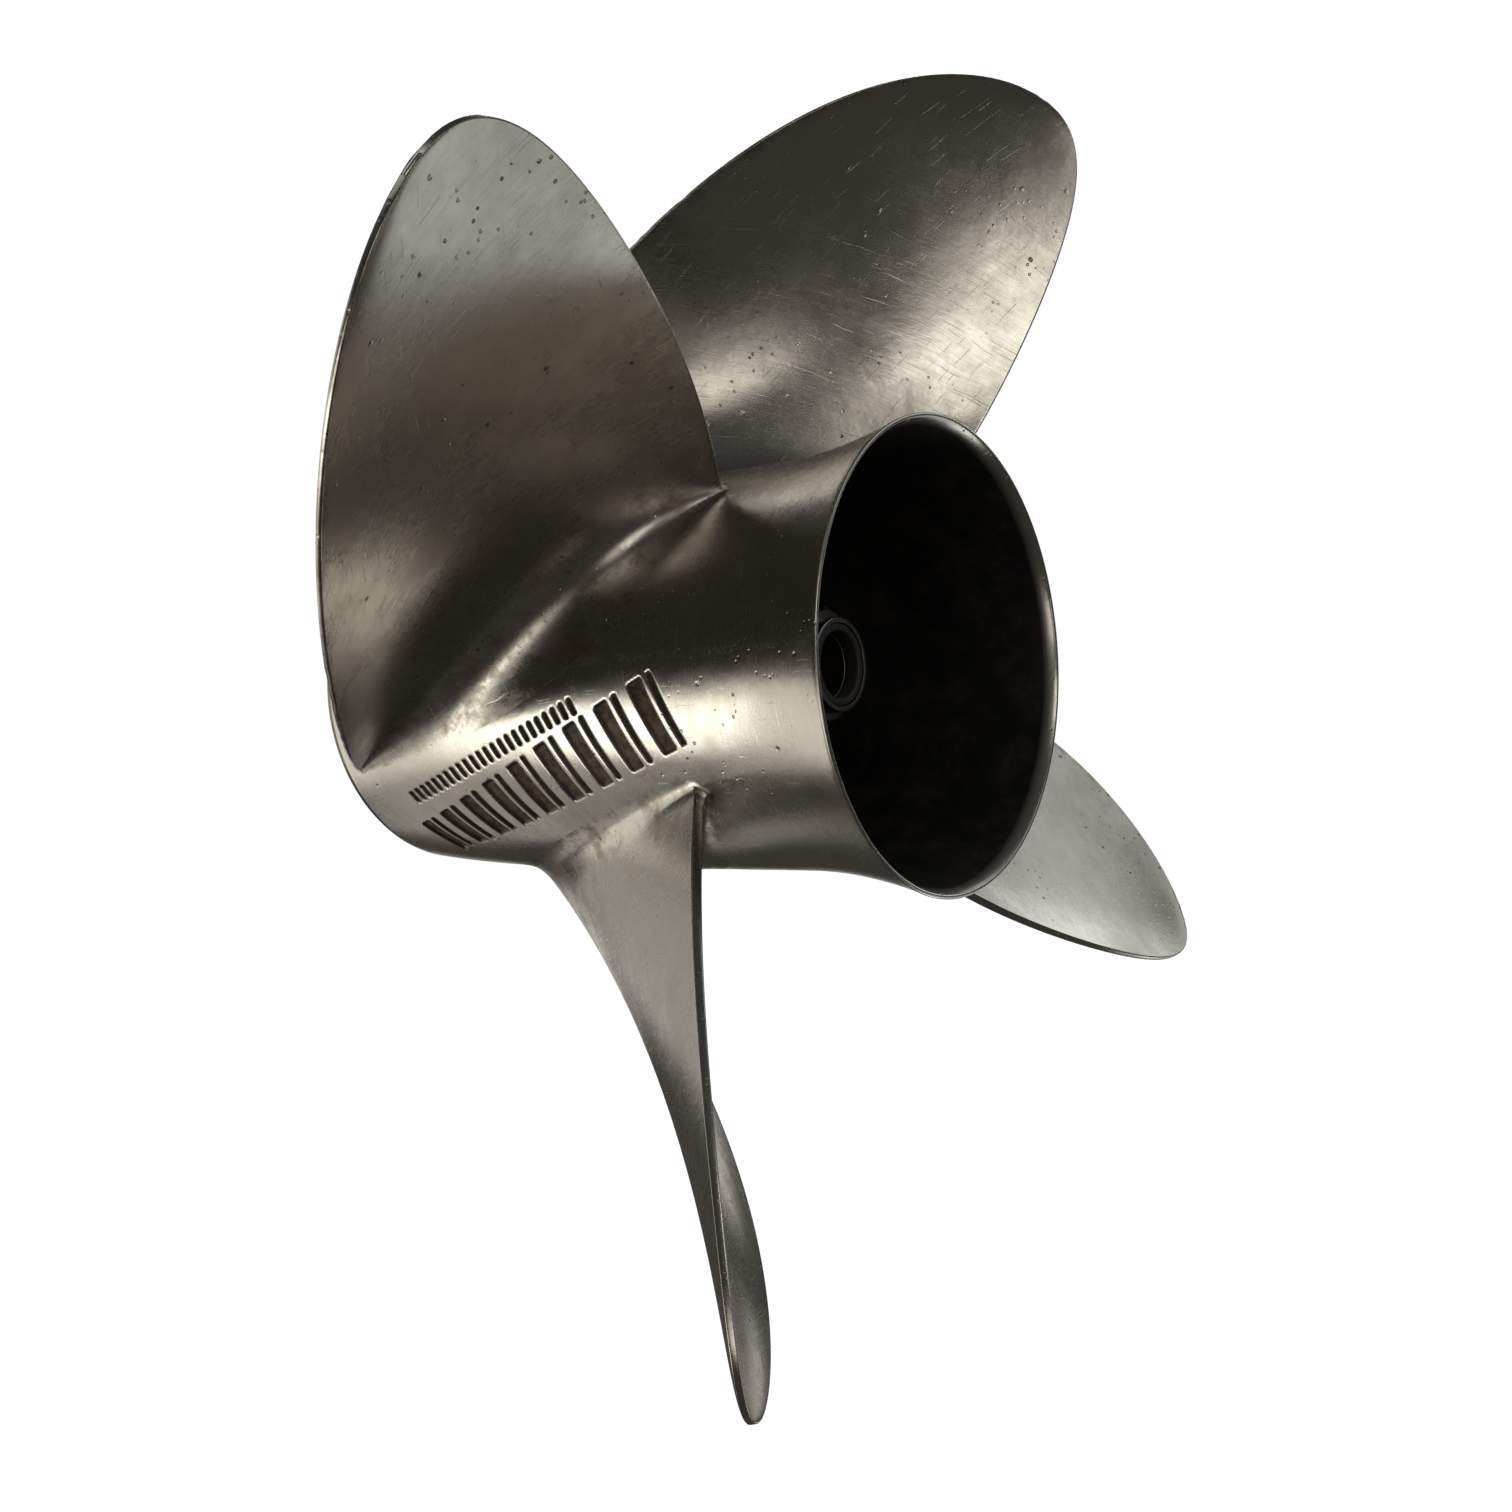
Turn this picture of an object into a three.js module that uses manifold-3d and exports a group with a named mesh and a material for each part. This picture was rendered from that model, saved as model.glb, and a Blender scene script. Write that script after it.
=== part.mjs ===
// A four-blade, through-hub-exhaust boat propeller with its hub kit, in millimetres.
// +X runs aft along the shaft and +Z is up. The origin is on the shaft's axis, level with the place
// where the blades' reference line meets the barrel.
// The barrel, blades, inner hub and ribs are one casting on the real object. They are separate solids
// here, a small gap apart.
import * as THREE from 'three';
import Module from 'manifold-3d';
import { mergeVertices } from 'three/addons/utils/BufferGeometryUtils.js';

const wasm = await Module();
wasm.setup();

// Clearances
const GAP = 0.3; // between pieces that touch or are cast together
const CUT = 2; // how far a cutter runs past the face it cuts
const SIDES = 48; // facets round a turned piece

// Blades
const BLADES = 4;
const TIP_RADIUS = 190.5;
const PITCH = 565; // advance in one turn
const FIRST_BLADE_ANGLE = 167.4; // degrees about +X from +Y, at the root
const CHORD = 143.6; // at the root, along the helix
const CHORD_TAPER = 0.176; // share of the chord lost from root to tip, before the tip rounds off
const LEADING_ROUNDNESS = 3.49; // exponents that round the outline off to the tip
const TRAILING_ROUNDNESS = 2.58;
const RAKE_SLOPE = 0.827; // aft lean of the reference line per unit of radius
const RAKE_RELIEF = 11.1; // how far the tip is held back from that line
const SKEW = 6.2; // degrees, growing evenly with radius
const TIP_SKEW = 4.8; // degrees more, gathered near the tip
const ROOT_THICKNESS = 9;
const TIP_THICKNESS = 3.6;
const CAMBER = 4; // forward bow of the middle of a section
const LEADING_EDGE = 1.4; // thickness of the edges
const TRAILING_EDGE_ROOT = 3;
const TRAILING_EDGE_TIP = 1.6;
const ROOT_SINK = 9; // how far a blade is drawn into the barrel before it is trimmed

// Barrel
const BARREL_RADIUS = 55.7;
const BARREL_FRONT = -72.2;
const BARREL_AFT = 110;
const FRONT_DRAW = 2.6; // how far the front rim is drawn in
const FRONT_TAPER_LENGTH = 50;
const FLARE_RISE = 6.8; // how far the aft rim stands out
const FLARE_LENGTH = 42;
const FLARE_POWER = 1.9;
const BARREL_WALL = 3.6;
const AFT_RIM_WALL = 1.4;

// Inner hub and ribs
const HUB_WALL = 7.03; // outside the corners of the squared bore
const HUB_FRONT = -56;
const HUB_LENGTH = 106;
const SQUARE_CORNER = 7;
const COUNTERBORE_CLEARANCE = 2; // round the adapter's flange
const COUNTERBORE_DEPTH = 8;
const LIP_THICKNESS = 6;
const LIP_CLEARANCE = 2; // round the adapter
const RIBS = 4;
const RIB_THICKNESS = 5;
const RIB_FRONT_INSET = 6;
const RIB_AFT_INSET = 10;

// Hub kit
const ADAPTER_RADIUS = 16;
const SLEEVE_WALL = 2.4; // at the flats
const FLANGE_WIDTH = 6;
const FLANGE_THICKNESS = 6.5;
const AXIAL_PLAY = 0.6; // adapter stands this far out of the hub's aft face
const SPLINES = 15;
const SPLINE_MINOR_RADIUS = 11.6;
const SPLINE_MAJOR_RADIUS = 13;
const SPLINE_FOOT = 0.3; // half widths of a groove at its mouth and its bottom, as shares of a tooth's pitch
const SPLINE_CREST = 0.2;
const LUG_HEIGHT = 4.5;
const LUG_LENGTH = 7;
const LUG_HALF_ANGLE = 11; // degrees
const TWIST_LIMIT = 5; // degrees that the sleeve can turn on the adapter
const TWIST_CLEARANCE = 1; // degrees left at that limit
const THRUST_HUB_LENGTH = 13.7;
const THRUST_HUB_STEP = 1; // smaller than the inner hub by this
const THRUST_HUB_CHAMFER = 2;
const TAPER_FRONT_RADIUS = 16;
const TAPER_AFT_RADIUS = 13.3;

// Nut and washers
const THREAD_RADIUS = 9.525;
const THREAD_CLEARANCE = 0.4;
const REAR_WASHER_RADIUS = 26;
const REAR_WASHER_THICKNESS = 4;
const TAB_WASHER_RADIUS = 24;
const TAB_WASHER_THICKNESS = 1.5;
const TABS = 4;
const TAB_WIDTH = 8;
const TAB_THICKNESS = 1.5;
const TAB_REACH = 3;
const NUT_ACROSS_FLATS = 28.6;
const NUT_FLANGE_RADIUS = 18;
const NUT_FLANGE_THICKNESS = 3;
const NUT_HEX_LENGTH = 12;
const NUT_COLLAR_RADIUS = 13;
const NUT_COLLAR_LENGTH = 4;
const NUT_BORE_RADIUS = 8.9;
const INSERT_SEAT_RADIUS = 11.4;
const INSERT_SEAT_DEPTH = 4.8;
const INSERT_BORE_RADIUS = 9.1;

// Places that follow from the sizes above
const DEG = Math.PI / 180;
const ADVANCE = PITCH / (2 * Math.PI);
const HUB_AFT = HUB_FRONT + HUB_LENGTH;
const SQUARE_FRONT = HUB_FRONT + COUNTERBORE_DEPTH;
const SQUARE_AFT = HUB_AFT - LIP_THICKNESS;
const SLEEVE_BORE_RADIUS = ADAPTER_RADIUS + GAP;
const SLEEVE_HALF = SLEEVE_BORE_RADIUS + SLEEVE_WALL;
const SQUARE_HALF = SLEEVE_HALF + GAP; // half the width across the flats of the squared bore
const SQUARE_REACH = (SQUARE_HALF - SQUARE_CORNER) * Math.SQRT2 + SQUARE_CORNER;
const HUB_RADIUS = SQUARE_REACH + HUB_WALL;
const FLANGE_RADIUS = ADAPTER_RADIUS + FLANGE_WIDTH;
const COUNTERBORE_RADIUS = FLANGE_RADIUS + COUNTERBORE_CLEARANCE;
const LIP_HOLE_RADIUS = ADAPTER_RADIUS + LIP_CLEARANCE;
const LUG_RADIUS = ADAPTER_RADIUS + LUG_HEIGHT;
const THRUST_HUB_RADIUS = HUB_RADIUS - THRUST_HUB_STEP;
const SLEEVE_FRONT = SQUARE_FRONT + GAP;
const SLEEVE_AFT = SQUARE_AFT - GAP;
const ADAPTER_FRONT = HUB_FRONT;
const ADAPTER_AFT = HUB_AFT + AXIAL_PLAY;
const FLANGE_AFT = ADAPTER_FRONT + FLANGE_THICKNESS;
const LUG_AFT = SLEEVE_FRONT + LUG_LENGTH;
const THRUST_HUB_AFT = HUB_FRONT - GAP;
const THRUST_HUB_FRONT = THRUST_HUB_AFT - THRUST_HUB_LENGTH;
const REAR_WASHER_FRONT = ADAPTER_AFT + GAP;
const REAR_WASHER_AFT = REAR_WASHER_FRONT + REAR_WASHER_THICKNESS;
const TAB_WASHER_FRONT = REAR_WASHER_AFT + GAP;
const TAB_WASHER_AFT = TAB_WASHER_FRONT + TAB_WASHER_THICKNESS;
const WASHER_BORE_RADIUS = THREAD_RADIUS + THREAD_CLEARANCE;
const NUT_FRONT = TAB_WASHER_AFT + GAP;
const NUT_HEX_AFT = NUT_FRONT + NUT_FLANGE_THICKNESS + NUT_HEX_LENGTH;
const NUT_AFT = NUT_HEX_AFT + NUT_COLLAR_LENGTH;

const mix = THREE.MathUtils.lerp;

// ---- Turning, extruding and cutting ----

// Merges shared vertices, drops triangles with no area and turns the faces outwards.
function closed(geometry) {
  const bare = geometry.clone();
  bare.deleteAttribute('normal');
  bare.deleteAttribute('uv');
  const merged = mergeVertices(bare, 1e-4);
  const index = merged.index.array;
  const place = merged.attributes.position;
  const [a, b, c] = [new THREE.Vector3(), new THREE.Vector3(), new THREE.Vector3()];
  const kept = [];
  let volume = 0;
  for (let i = 0; i < index.length; i += 3) {
    const [p, q, r] = [index[i], index[i + 1], index[i + 2]];
    if (p === q || q === r || r === p) continue;
    kept.push(p, q, r);
    a.fromBufferAttribute(place, p);
    b.fromBufferAttribute(place, q);
    c.fromBufferAttribute(place, r);
    volume += a.dot(b.cross(c));
  }
  if (volume < 0) kept.reverse();
  merged.setIndex(kept);
  return merged;
}

function toSolid(geometry) {
  const whole = closed(geometry);
  return new wasm.Manifold(new wasm.Mesh({
    numProp: 3,
    vertProperties: new Float32Array(whole.attributes.position.array),
    triVerts: new Uint32Array(whole.index.array),
  }));
}

function toGeometry(solid) {
  const mesh = solid.getMesh();
  const geometry = new THREE.BufferGeometry();
  geometry.setAttribute('position', new THREE.BufferAttribute(mesh.vertProperties, mesh.numProp));
  geometry.setIndex(new THREE.BufferAttribute(mesh.triVerts, 1));
  return geometry;
}

// Turns a profile of [x, radius] points about the X axis. One that is off the axis closes on itself.
function turned(profile) {
  const points = profile.map(([x, radius]) => new THREE.Vector2(radius, x));
  const onAxis = points[0].x === 0 && points.at(-1).x === 0;
  if (!onAxis) points.push(points[0].clone());
  return new THREE.LatheGeometry(points, SIDES).rotateZ(-Math.PI / 2);
}

const ring = (front, aft, inner, outer) => turned([
  [front, inner], [front, outer], [aft, outer], [aft, inner],
]);

const disc = (front, aft, radius) => turned([[front, 0], [front, radius], [aft, radius], [aft, 0]]);

// Extrudes a shape along X, from front to aft.
function along(shape, front, aft) {
  const options = { depth: aft - front, bevelEnabled: false, curveSegments: 6 };
  return new THREE.ExtrudeGeometry(shape, options).rotateY(Math.PI / 2).translate(front, 0, 0);
}

function roundedSquare(half, corner) {
  const flat = half - corner;
  const shape = new THREE.Shape();
  shape.moveTo(half, -flat);
  shape.lineTo(half, flat);
  shape.absarc(flat, flat, corner, 0, Math.PI / 2, false);
  shape.lineTo(-flat, half);
  shape.absarc(-flat, flat, corner, Math.PI / 2, Math.PI, false);
  shape.lineTo(-half, -flat);
  shape.absarc(-flat, -flat, corner, Math.PI, 1.5 * Math.PI, false);
  shape.lineTo(flat, -half);
  shape.absarc(flat, -flat, corner, 1.5 * Math.PI, 2 * Math.PI, false);
  return shape;
}

// A ring sector, centred on an angle in degrees.
function sector(inner, outer, centre, half) {
  const [from, to] = [(centre - half) * DEG, (centre + half) * DEG];
  const shape = new THREE.Shape();
  shape.absarc(0, 0, outer, from, to, false);
  shape.absarc(0, 0, inner, to, from, true);
  return shape;
}

const cornerAngle = (i) => 45 + 90 * i;

// ---- Barrel ----

// Straight in the middle, drawn in to the front rim and flared to the aft rim.
function barrelRadius(x) {
  const taper = THREE.MathUtils.clamp((x - BARREL_FRONT) / FRONT_TAPER_LENGTH, 0, 1);
  const flare = Math.max(0, (x - (BARREL_AFT - FLARE_LENGTH)) / FLARE_LENGTH);
  return BARREL_RADIUS - FRONT_DRAW * (1 - taper) ** 2 + FLARE_RISE * flare ** FLARE_POWER;
}

function barrelBore(x) {
  const flare = Math.max(0, (x - (BARREL_AFT - FLARE_LENGTH)) / FLARE_LENGTH);
  return barrelRadius(x) - mix(BARREL_WALL, AFT_RIM_WALL, flare);
}

function barrelStations() {
  const taperEnd = BARREL_FRONT + FRONT_TAPER_LENGTH;
  const flareStart = BARREL_AFT - FLARE_LENGTH;
  const stations = [];
  for (let i = 0; i <= 3; i += 1) stations.push(mix(BARREL_FRONT, taperEnd, i / 3));
  for (let i = 0; i <= 6; i += 1) stations.push(mix(flareStart, BARREL_AFT, i / 6));
  return stations;
}

function barrel() {
  const stations = barrelStations();
  const outside = stations.map((x) => [x, barrelRadius(x)]);
  const inside = stations.map((x) => [x, barrelBore(x)]).reverse();
  return turned([...outside, ...inside]);
}

// The space that the barrel takes from a blade: its filled outside, one gap larger. It runs on past both
// rims by half a chord, so that the sunk root is trimmed wherever the blade ends.
function barrelPlug() {
  const overrun = CHORD / 2;
  const stations = barrelStations();
  const outside = stations.map((x) => [x, barrelRadius(x) + GAP]);
  const front = BARREL_FRONT - overrun;
  const aft = BARREL_AFT + overrun;
  return turned([[front, 0], [front, outside[0][1]], ...outside, [aft, outside.at(-1)[1]], [aft, 0]]);
}

// ---- Blades ----

// A point of the blade's middle surface. span is 0 at the root and 1 at the tip, turn is the angle
// along the helix towards the trailing edge.
function helixPoint(span, turn) {
  const height = TIP_RADIUS - BARREL_RADIUS;
  const radius = BARREL_RADIUS + height * span;
  const x = RAKE_SLOPE * height * span - RAKE_RELIEF * span ** 2 + ADVANCE * turn;
  const angle = -(SKEW * span + TIP_SKEW * span ** 3) * DEG - turn;
  return new THREE.Vector3(x, radius * Math.cos(angle), radius * Math.sin(angle));
}

// Half the blade's width as a turn angle, for across below 0 (leading) or above it (trailing).
function edgeTurn(span, across) {
  const outward = Math.max(span, 0);
  const roundness = across < 0 ? LEADING_ROUNDNESS : TRAILING_ROUNDNESS;
  const radius = BARREL_RADIUS + (TIP_RADIUS - BARREL_RADIUS) * span;
  const chord = CHORD * (1 - CHORD_TAPER * outward) * Math.sqrt(Math.max(0, 1 - outward ** roundness));
  return chord / 2 / Math.hypot(radius, ADVANCE);
}

// A point of the blade's skin. across is -1 at the leading edge and 1 at the trailing edge, side is 1
// on the forward skin and -1 on the aft one.
function skinPoint(span, across, side) {
  const step = 1e-3;
  const turn = across * edgeTurn(span, across);
  const middle = helixPoint(span, turn);
  const alongChord = helixPoint(span, turn + step).sub(helixPoint(span, turn - step));
  const alongSpan = helixPoint(span + step, turn).sub(helixPoint(span - step, turn));
  const forward = alongChord.cross(alongSpan).normalize();
  if (forward.x > 0) forward.negate();
  const outward = THREE.MathUtils.clamp(span, 0, 1);
  const trailingEdge = mix(TRAILING_EDGE_ROOT, TRAILING_EDGE_TIP, outward);
  const narrowing = Math.sqrt(1 - outward ** LEADING_ROUNDNESS); // 0 at the tip, where the edges meet
  const edge = mix(LEADING_EDGE, trailingEdge, (across * narrowing + 1) / 2);
  const fullness = (1 - across ** 2) * narrowing;
  const thickness = edge + (mix(ROOT_THICKNESS, TIP_THICKNESS, outward) - edge) * fullness;
  return middle.addScaledVector(forward, CAMBER * fullness + side * thickness / 2);
}

// Rings of skin points round each section, joined from the root to the tip.
function bladeSkin() {
  const sections = 15;
  const strips = 12;
  const rootSpan = -ROOT_SINK / (TIP_RADIUS - BARREL_RADIUS);
  const around = 2 * (strips + 1);
  const place = [];
  for (let i = 0; i <= sections; i += 1) {
    const span = mix(rootSpan, 1, 1 - (1 - i / sections) ** 1.7);
    for (let j = 0; j <= strips; j += 1) {
      place.push(...skinPoint(span, -Math.cos(Math.PI * j / strips), 1));
    }
    for (let j = strips; j >= 0; j -= 1) {
      place.push(...skinPoint(span, -Math.cos(Math.PI * j / strips), -1));
    }
  }
  const index = [];
  for (let i = 0; i < sections; i += 1) {
    for (let j = 0; j < around; j += 1) {
      const next = (j + 1) % around;
      const [a, b] = [i * around + j, i * around + next];
      index.push(a, b, a + around, b, b + around, a + around);
    }
  }
  for (let j = 0; j < strips; j += 1) {
    const [a, b, c, d] = [j, j + 1, around - 1 - j, around - 2 - j];
    index.push(a, c, b, b, c, d);
  }
  const geometry = new THREE.BufferGeometry();
  geometry.setAttribute('position', new THREE.Float32BufferAttribute(place, 3));
  geometry.setIndex(index);
  return geometry;
}

function blade(turn) {
  const whole = toSolid(bladeSkin().rotateX(turn));
  return toGeometry(whole.subtract(toSolid(barrelPlug())));
}

// ---- Inner hub and ribs ----

function innerHub() {
  let hub = toSolid(disc(HUB_FRONT, HUB_AFT, HUB_RADIUS));
  const square = roundedSquare(SQUARE_HALF, SQUARE_CORNER);
  hub = hub.subtract(toSolid(along(square, SQUARE_FRONT - CUT, SQUARE_AFT)));
  hub = hub.subtract(toSolid(disc(HUB_FRONT - CUT, SQUARE_FRONT, COUNTERBORE_RADIUS)));
  hub = hub.subtract(toSolid(disc(SQUARE_AFT - CUT, HUB_AFT + CUT, LIP_HOLE_RADIUS)));
  return toGeometry(hub);
}

function hubRib() {
  const facet = Math.cos(Math.PI / SIDES);
  const front = HUB_FRONT + RIB_FRONT_INSET;
  const aft = HUB_AFT - RIB_AFT_INSET;
  const reach = Math.min(barrelBore(front), barrelBore(aft)) * facet - GAP;
  const outer = Math.sqrt(reach ** 2 - (RIB_THICKNESS / 2) ** 2);
  const inner = HUB_RADIUS + GAP;
  const geometry = new THREE.BoxGeometry(aft - front, outer - inner, RIB_THICKNESS);
  return geometry.translate((front + aft) / 2, (outer + inner) / 2, 0);
}

// ---- Hub kit ----

function driveSleeve() {
  const outline = roundedSquare(SLEEVE_HALF, SQUARE_CORNER - GAP);
  let sleeve = toSolid(along(outline, SLEEVE_FRONT, SLEEVE_AFT));
  sleeve = sleeve.subtract(toSolid(disc(SLEEVE_FRONT - CUT, SLEEVE_AFT + CUT, SLEEVE_BORE_RADIUS)));
  const notchHalf = LUG_HALF_ANGLE + TWIST_LIMIT + TWIST_CLEARANCE;
  for (let i = 0; i < 4; i += 1) {
    const notch = sector(ADAPTER_RADIUS - CUT, LUG_RADIUS + GAP, cornerAngle(i), notchHalf);
    sleeve = sleeve.subtract(toSolid(along(notch, SLEEVE_FRONT - CUT, LUG_AFT + GAP)));
  }
  return toGeometry(sleeve);
}

function splineShape() {
  const points = [];
  const tooth = 360 / SPLINES;
  for (let i = 0; i < SPLINES; i += 1) {
    const corners = [
      [-SPLINE_FOOT, SPLINE_MINOR_RADIUS],
      [-SPLINE_CREST, SPLINE_MAJOR_RADIUS],
      [SPLINE_CREST, SPLINE_MAJOR_RADIUS],
      [SPLINE_FOOT, SPLINE_MINOR_RADIUS],
    ];
    for (const [share, radius] of corners) {
      const angle = (i + share) * tooth * DEG;
      points.push(new THREE.Vector2(radius * Math.cos(angle), radius * Math.sin(angle)));
    }
  }
  return new THREE.Shape(points);
}

function splinedAdapter() {
  let adapter = toSolid(disc(ADAPTER_FRONT, ADAPTER_AFT, ADAPTER_RADIUS));
  adapter = adapter.add(toSolid(disc(ADAPTER_FRONT, FLANGE_AFT, FLANGE_RADIUS)));
  for (let i = 0; i < 4; i += 1) {
    const lug = sector(ADAPTER_RADIUS - CUT, LUG_RADIUS, cornerAngle(i), LUG_HALF_ANGLE);
    adapter = adapter.add(toSolid(along(lug, FLANGE_AFT - CUT, LUG_AFT)));
  }
  const bore = along(splineShape(), ADAPTER_FRONT - CUT, ADAPTER_AFT + CUT);
  return toGeometry(adapter.subtract(toSolid(bore)));
}

function thrustHub() {
  return turned([
    [THRUST_HUB_FRONT, TAPER_FRONT_RADIUS],
    [THRUST_HUB_FRONT, THRUST_HUB_RADIUS - THRUST_HUB_CHAMFER],
    [THRUST_HUB_FRONT + THRUST_HUB_CHAMFER, THRUST_HUB_RADIUS],
    [THRUST_HUB_AFT, THRUST_HUB_RADIUS],
    [THRUST_HUB_AFT, TAPER_AFT_RADIUS],
  ]);
}

// ---- Washers and nut ----

// A bar across the axis at each tab, as deep as the two faces given.
function tabBars(front, aft, inner, outer, width) {
  const bars = [];
  for (let i = 0; i < TABS; i += 1) {
    const bar = new THREE.BoxGeometry(aft - front, outer - inner, width);
    bar.translate((front + aft) / 2, (outer + inner) / 2, 0);
    bars.push(bar.rotateX(2 * Math.PI * i / TABS));
  }
  return bars;
}

const TAB_INNER = TAB_WASHER_RADIUS - TAB_THICKNESS;

function rearThrustWasher() {
  const body = ring(REAR_WASHER_FRONT, REAR_WASHER_AFT, WASHER_BORE_RADIUS, REAR_WASHER_RADIUS);
  let washer = toSolid(body);
  const [front, aft] = [TAB_WASHER_FRONT - TAB_REACH - GAP, REAR_WASHER_AFT + CUT];
  const width = TAB_WIDTH + 2 * GAP;
  for (const slot of tabBars(front, aft, TAB_INNER - GAP, REAR_WASHER_RADIUS + CUT, width)) {
    washer = washer.subtract(toSolid(slot));
  }
  return toGeometry(washer);
}

function tabWasher() {
  const body = ring(TAB_WASHER_FRONT, TAB_WASHER_AFT, WASHER_BORE_RADIUS, TAB_WASHER_RADIUS - GAP);
  let washer = toSolid(body);
  const front = TAB_WASHER_FRONT - TAB_REACH;
  for (const tab of tabBars(front, TAB_WASHER_AFT, TAB_INNER, TAB_WASHER_RADIUS, TAB_WIDTH)) {
    washer = washer.add(toSolid(tab));
  }
  return toGeometry(washer);
}

function propNut() {
  const corner = NUT_ACROSS_FLATS / Math.sqrt(3);
  const points = [];
  for (let i = 0; i < 6; i += 1) {
    points.push(new THREE.Vector2(corner * Math.cos(60 * i * DEG), corner * Math.sin(60 * i * DEG)));
  }
  const hexFront = NUT_FRONT + NUT_FLANGE_THICKNESS;
  let nut = toSolid(disc(NUT_FRONT, hexFront, NUT_FLANGE_RADIUS));
  nut = nut.add(toSolid(along(new THREE.Shape(points), hexFront - CUT, NUT_HEX_AFT)));
  nut = nut.add(toSolid(disc(NUT_HEX_AFT - CUT, NUT_AFT, NUT_COLLAR_RADIUS)));
  nut = nut.subtract(toSolid(disc(NUT_FRONT - CUT, NUT_AFT + CUT, NUT_BORE_RADIUS)));
  nut = nut.subtract(toSolid(disc(NUT_AFT - INSERT_SEAT_DEPTH, NUT_AFT + CUT, INSERT_SEAT_RADIUS)));
  return toGeometry(nut);
}

function nutInsert() {
  const front = NUT_AFT - INSERT_SEAT_DEPTH + GAP;
  return ring(front, NUT_AFT - GAP, INSERT_BORE_RADIUS, INSERT_SEAT_RADIUS - GAP);
}

// ---- Assembly ----

const steel = () => new THREE.MeshStandardMaterial({ color: 0x9b968c, roughness: 0.38, metalness: 1 });
const brass = () => new THREE.MeshStandardMaterial({ color: 0xb08d4a, roughness: 0.35, metalness: 1 });
const composite = () => new THREE.MeshStandardMaterial({ color: 0x1c1c1e, roughness: 0.6, metalness: 0 });
const nylon = () => new THREE.MeshStandardMaterial({ color: 0xd8d4c4, roughness: 0.5, metalness: 0 });

function piece(name, geometry, material) {
  const mesh = new THREE.Mesh(closed(geometry), material);
  mesh.geometry.computeVertexNormals();
  mesh.name = name;
  return mesh;
}

const propeller = new THREE.Group();
const casting = new THREE.Group();
casting.add(piece('barrel', barrel(), steel()));
casting.add(piece('inner_hub', innerHub(), steel()));
for (let i = 0; i < BLADES; i += 1) {
  const turn = (FIRST_BLADE_ANGLE - 360 * i / BLADES) * DEG;
  casting.add(piece(`blade_${i + 1}`, blade(turn), steel()));
}
for (let i = 0; i < RIBS; i += 1) {
  const rib = piece(`hub_rib_${i + 1}`, hubRib(), steel());
  rib.rotation.x = (45 + 360 * i / RIBS) * DEG;
  casting.add(rib);
}
propeller.add(casting);

const hubKit = new THREE.Group();
hubKit.add(piece('drive_sleeve', driveSleeve(), composite()));
hubKit.add(piece('splined_adapter', splinedAdapter(), brass()));
hubKit.add(piece('thrust_hub', thrustHub(), steel()));
hubKit.add(piece('rear_thrust_washer', rearThrustWasher(), steel()));
hubKit.add(piece('tab_washer', tabWasher(), steel()));
hubKit.add(piece('prop_nut', propNut(), steel()));
hubKit.add(piece('nut_insert', nutInsert(), nylon()));
propeller.add(hubKit);

export default propeller;
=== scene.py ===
"""Fine surfaces, finishes and studio for a four-blade boat propeller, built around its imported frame."""

import math

import bpy
import numpy as np
from mathutils import Matrix, Vector


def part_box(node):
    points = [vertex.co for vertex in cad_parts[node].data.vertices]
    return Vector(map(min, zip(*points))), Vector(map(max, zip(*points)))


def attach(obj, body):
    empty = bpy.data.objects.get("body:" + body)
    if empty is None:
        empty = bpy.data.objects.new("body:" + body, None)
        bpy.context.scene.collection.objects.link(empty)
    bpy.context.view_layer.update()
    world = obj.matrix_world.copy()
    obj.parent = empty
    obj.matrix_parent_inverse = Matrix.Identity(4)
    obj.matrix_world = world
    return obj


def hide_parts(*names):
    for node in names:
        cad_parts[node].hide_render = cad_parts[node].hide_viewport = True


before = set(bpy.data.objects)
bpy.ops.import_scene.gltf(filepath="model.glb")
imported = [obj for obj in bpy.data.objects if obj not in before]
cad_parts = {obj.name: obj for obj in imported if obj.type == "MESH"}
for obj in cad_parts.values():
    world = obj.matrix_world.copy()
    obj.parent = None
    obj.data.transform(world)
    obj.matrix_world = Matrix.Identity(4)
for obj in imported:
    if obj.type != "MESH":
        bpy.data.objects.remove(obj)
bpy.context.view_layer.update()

bl_info = {
    "name": "Boat Propeller",
    "version": (1, 0, 0),
    "blender": (4, 5, 0),
    "location": "View3D > Sidebar > Propeller",
    "description": "Builds the fine surfaces and finishes of a four-blade boat propeller",
    "category": "Add Mesh",
}

MM = 0.001
FULL_TURN = 2 * math.pi
BARREL_LOW, BARREL_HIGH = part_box("barrel")


# ---- Settings ----


def length(name, description, default):
    return bpy.props.FloatProperty(
        name=name, description=description, default=default, unit="LENGTH", precision=5
    )


def angle(name, description, degrees):
    return bpy.props.FloatProperty(
        name=name, description=description, default=math.radians(degrees), unit="ROTATION"
    )


def number(name, description, default):
    return bpy.props.FloatProperty(name=name, description=description, default=default)


def colour(name, description, default):
    return bpy.props.FloatVectorProperty(
        name=name, description=description, default=default, subtype="COLOR", size=3, min=0, max=1
    )


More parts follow.
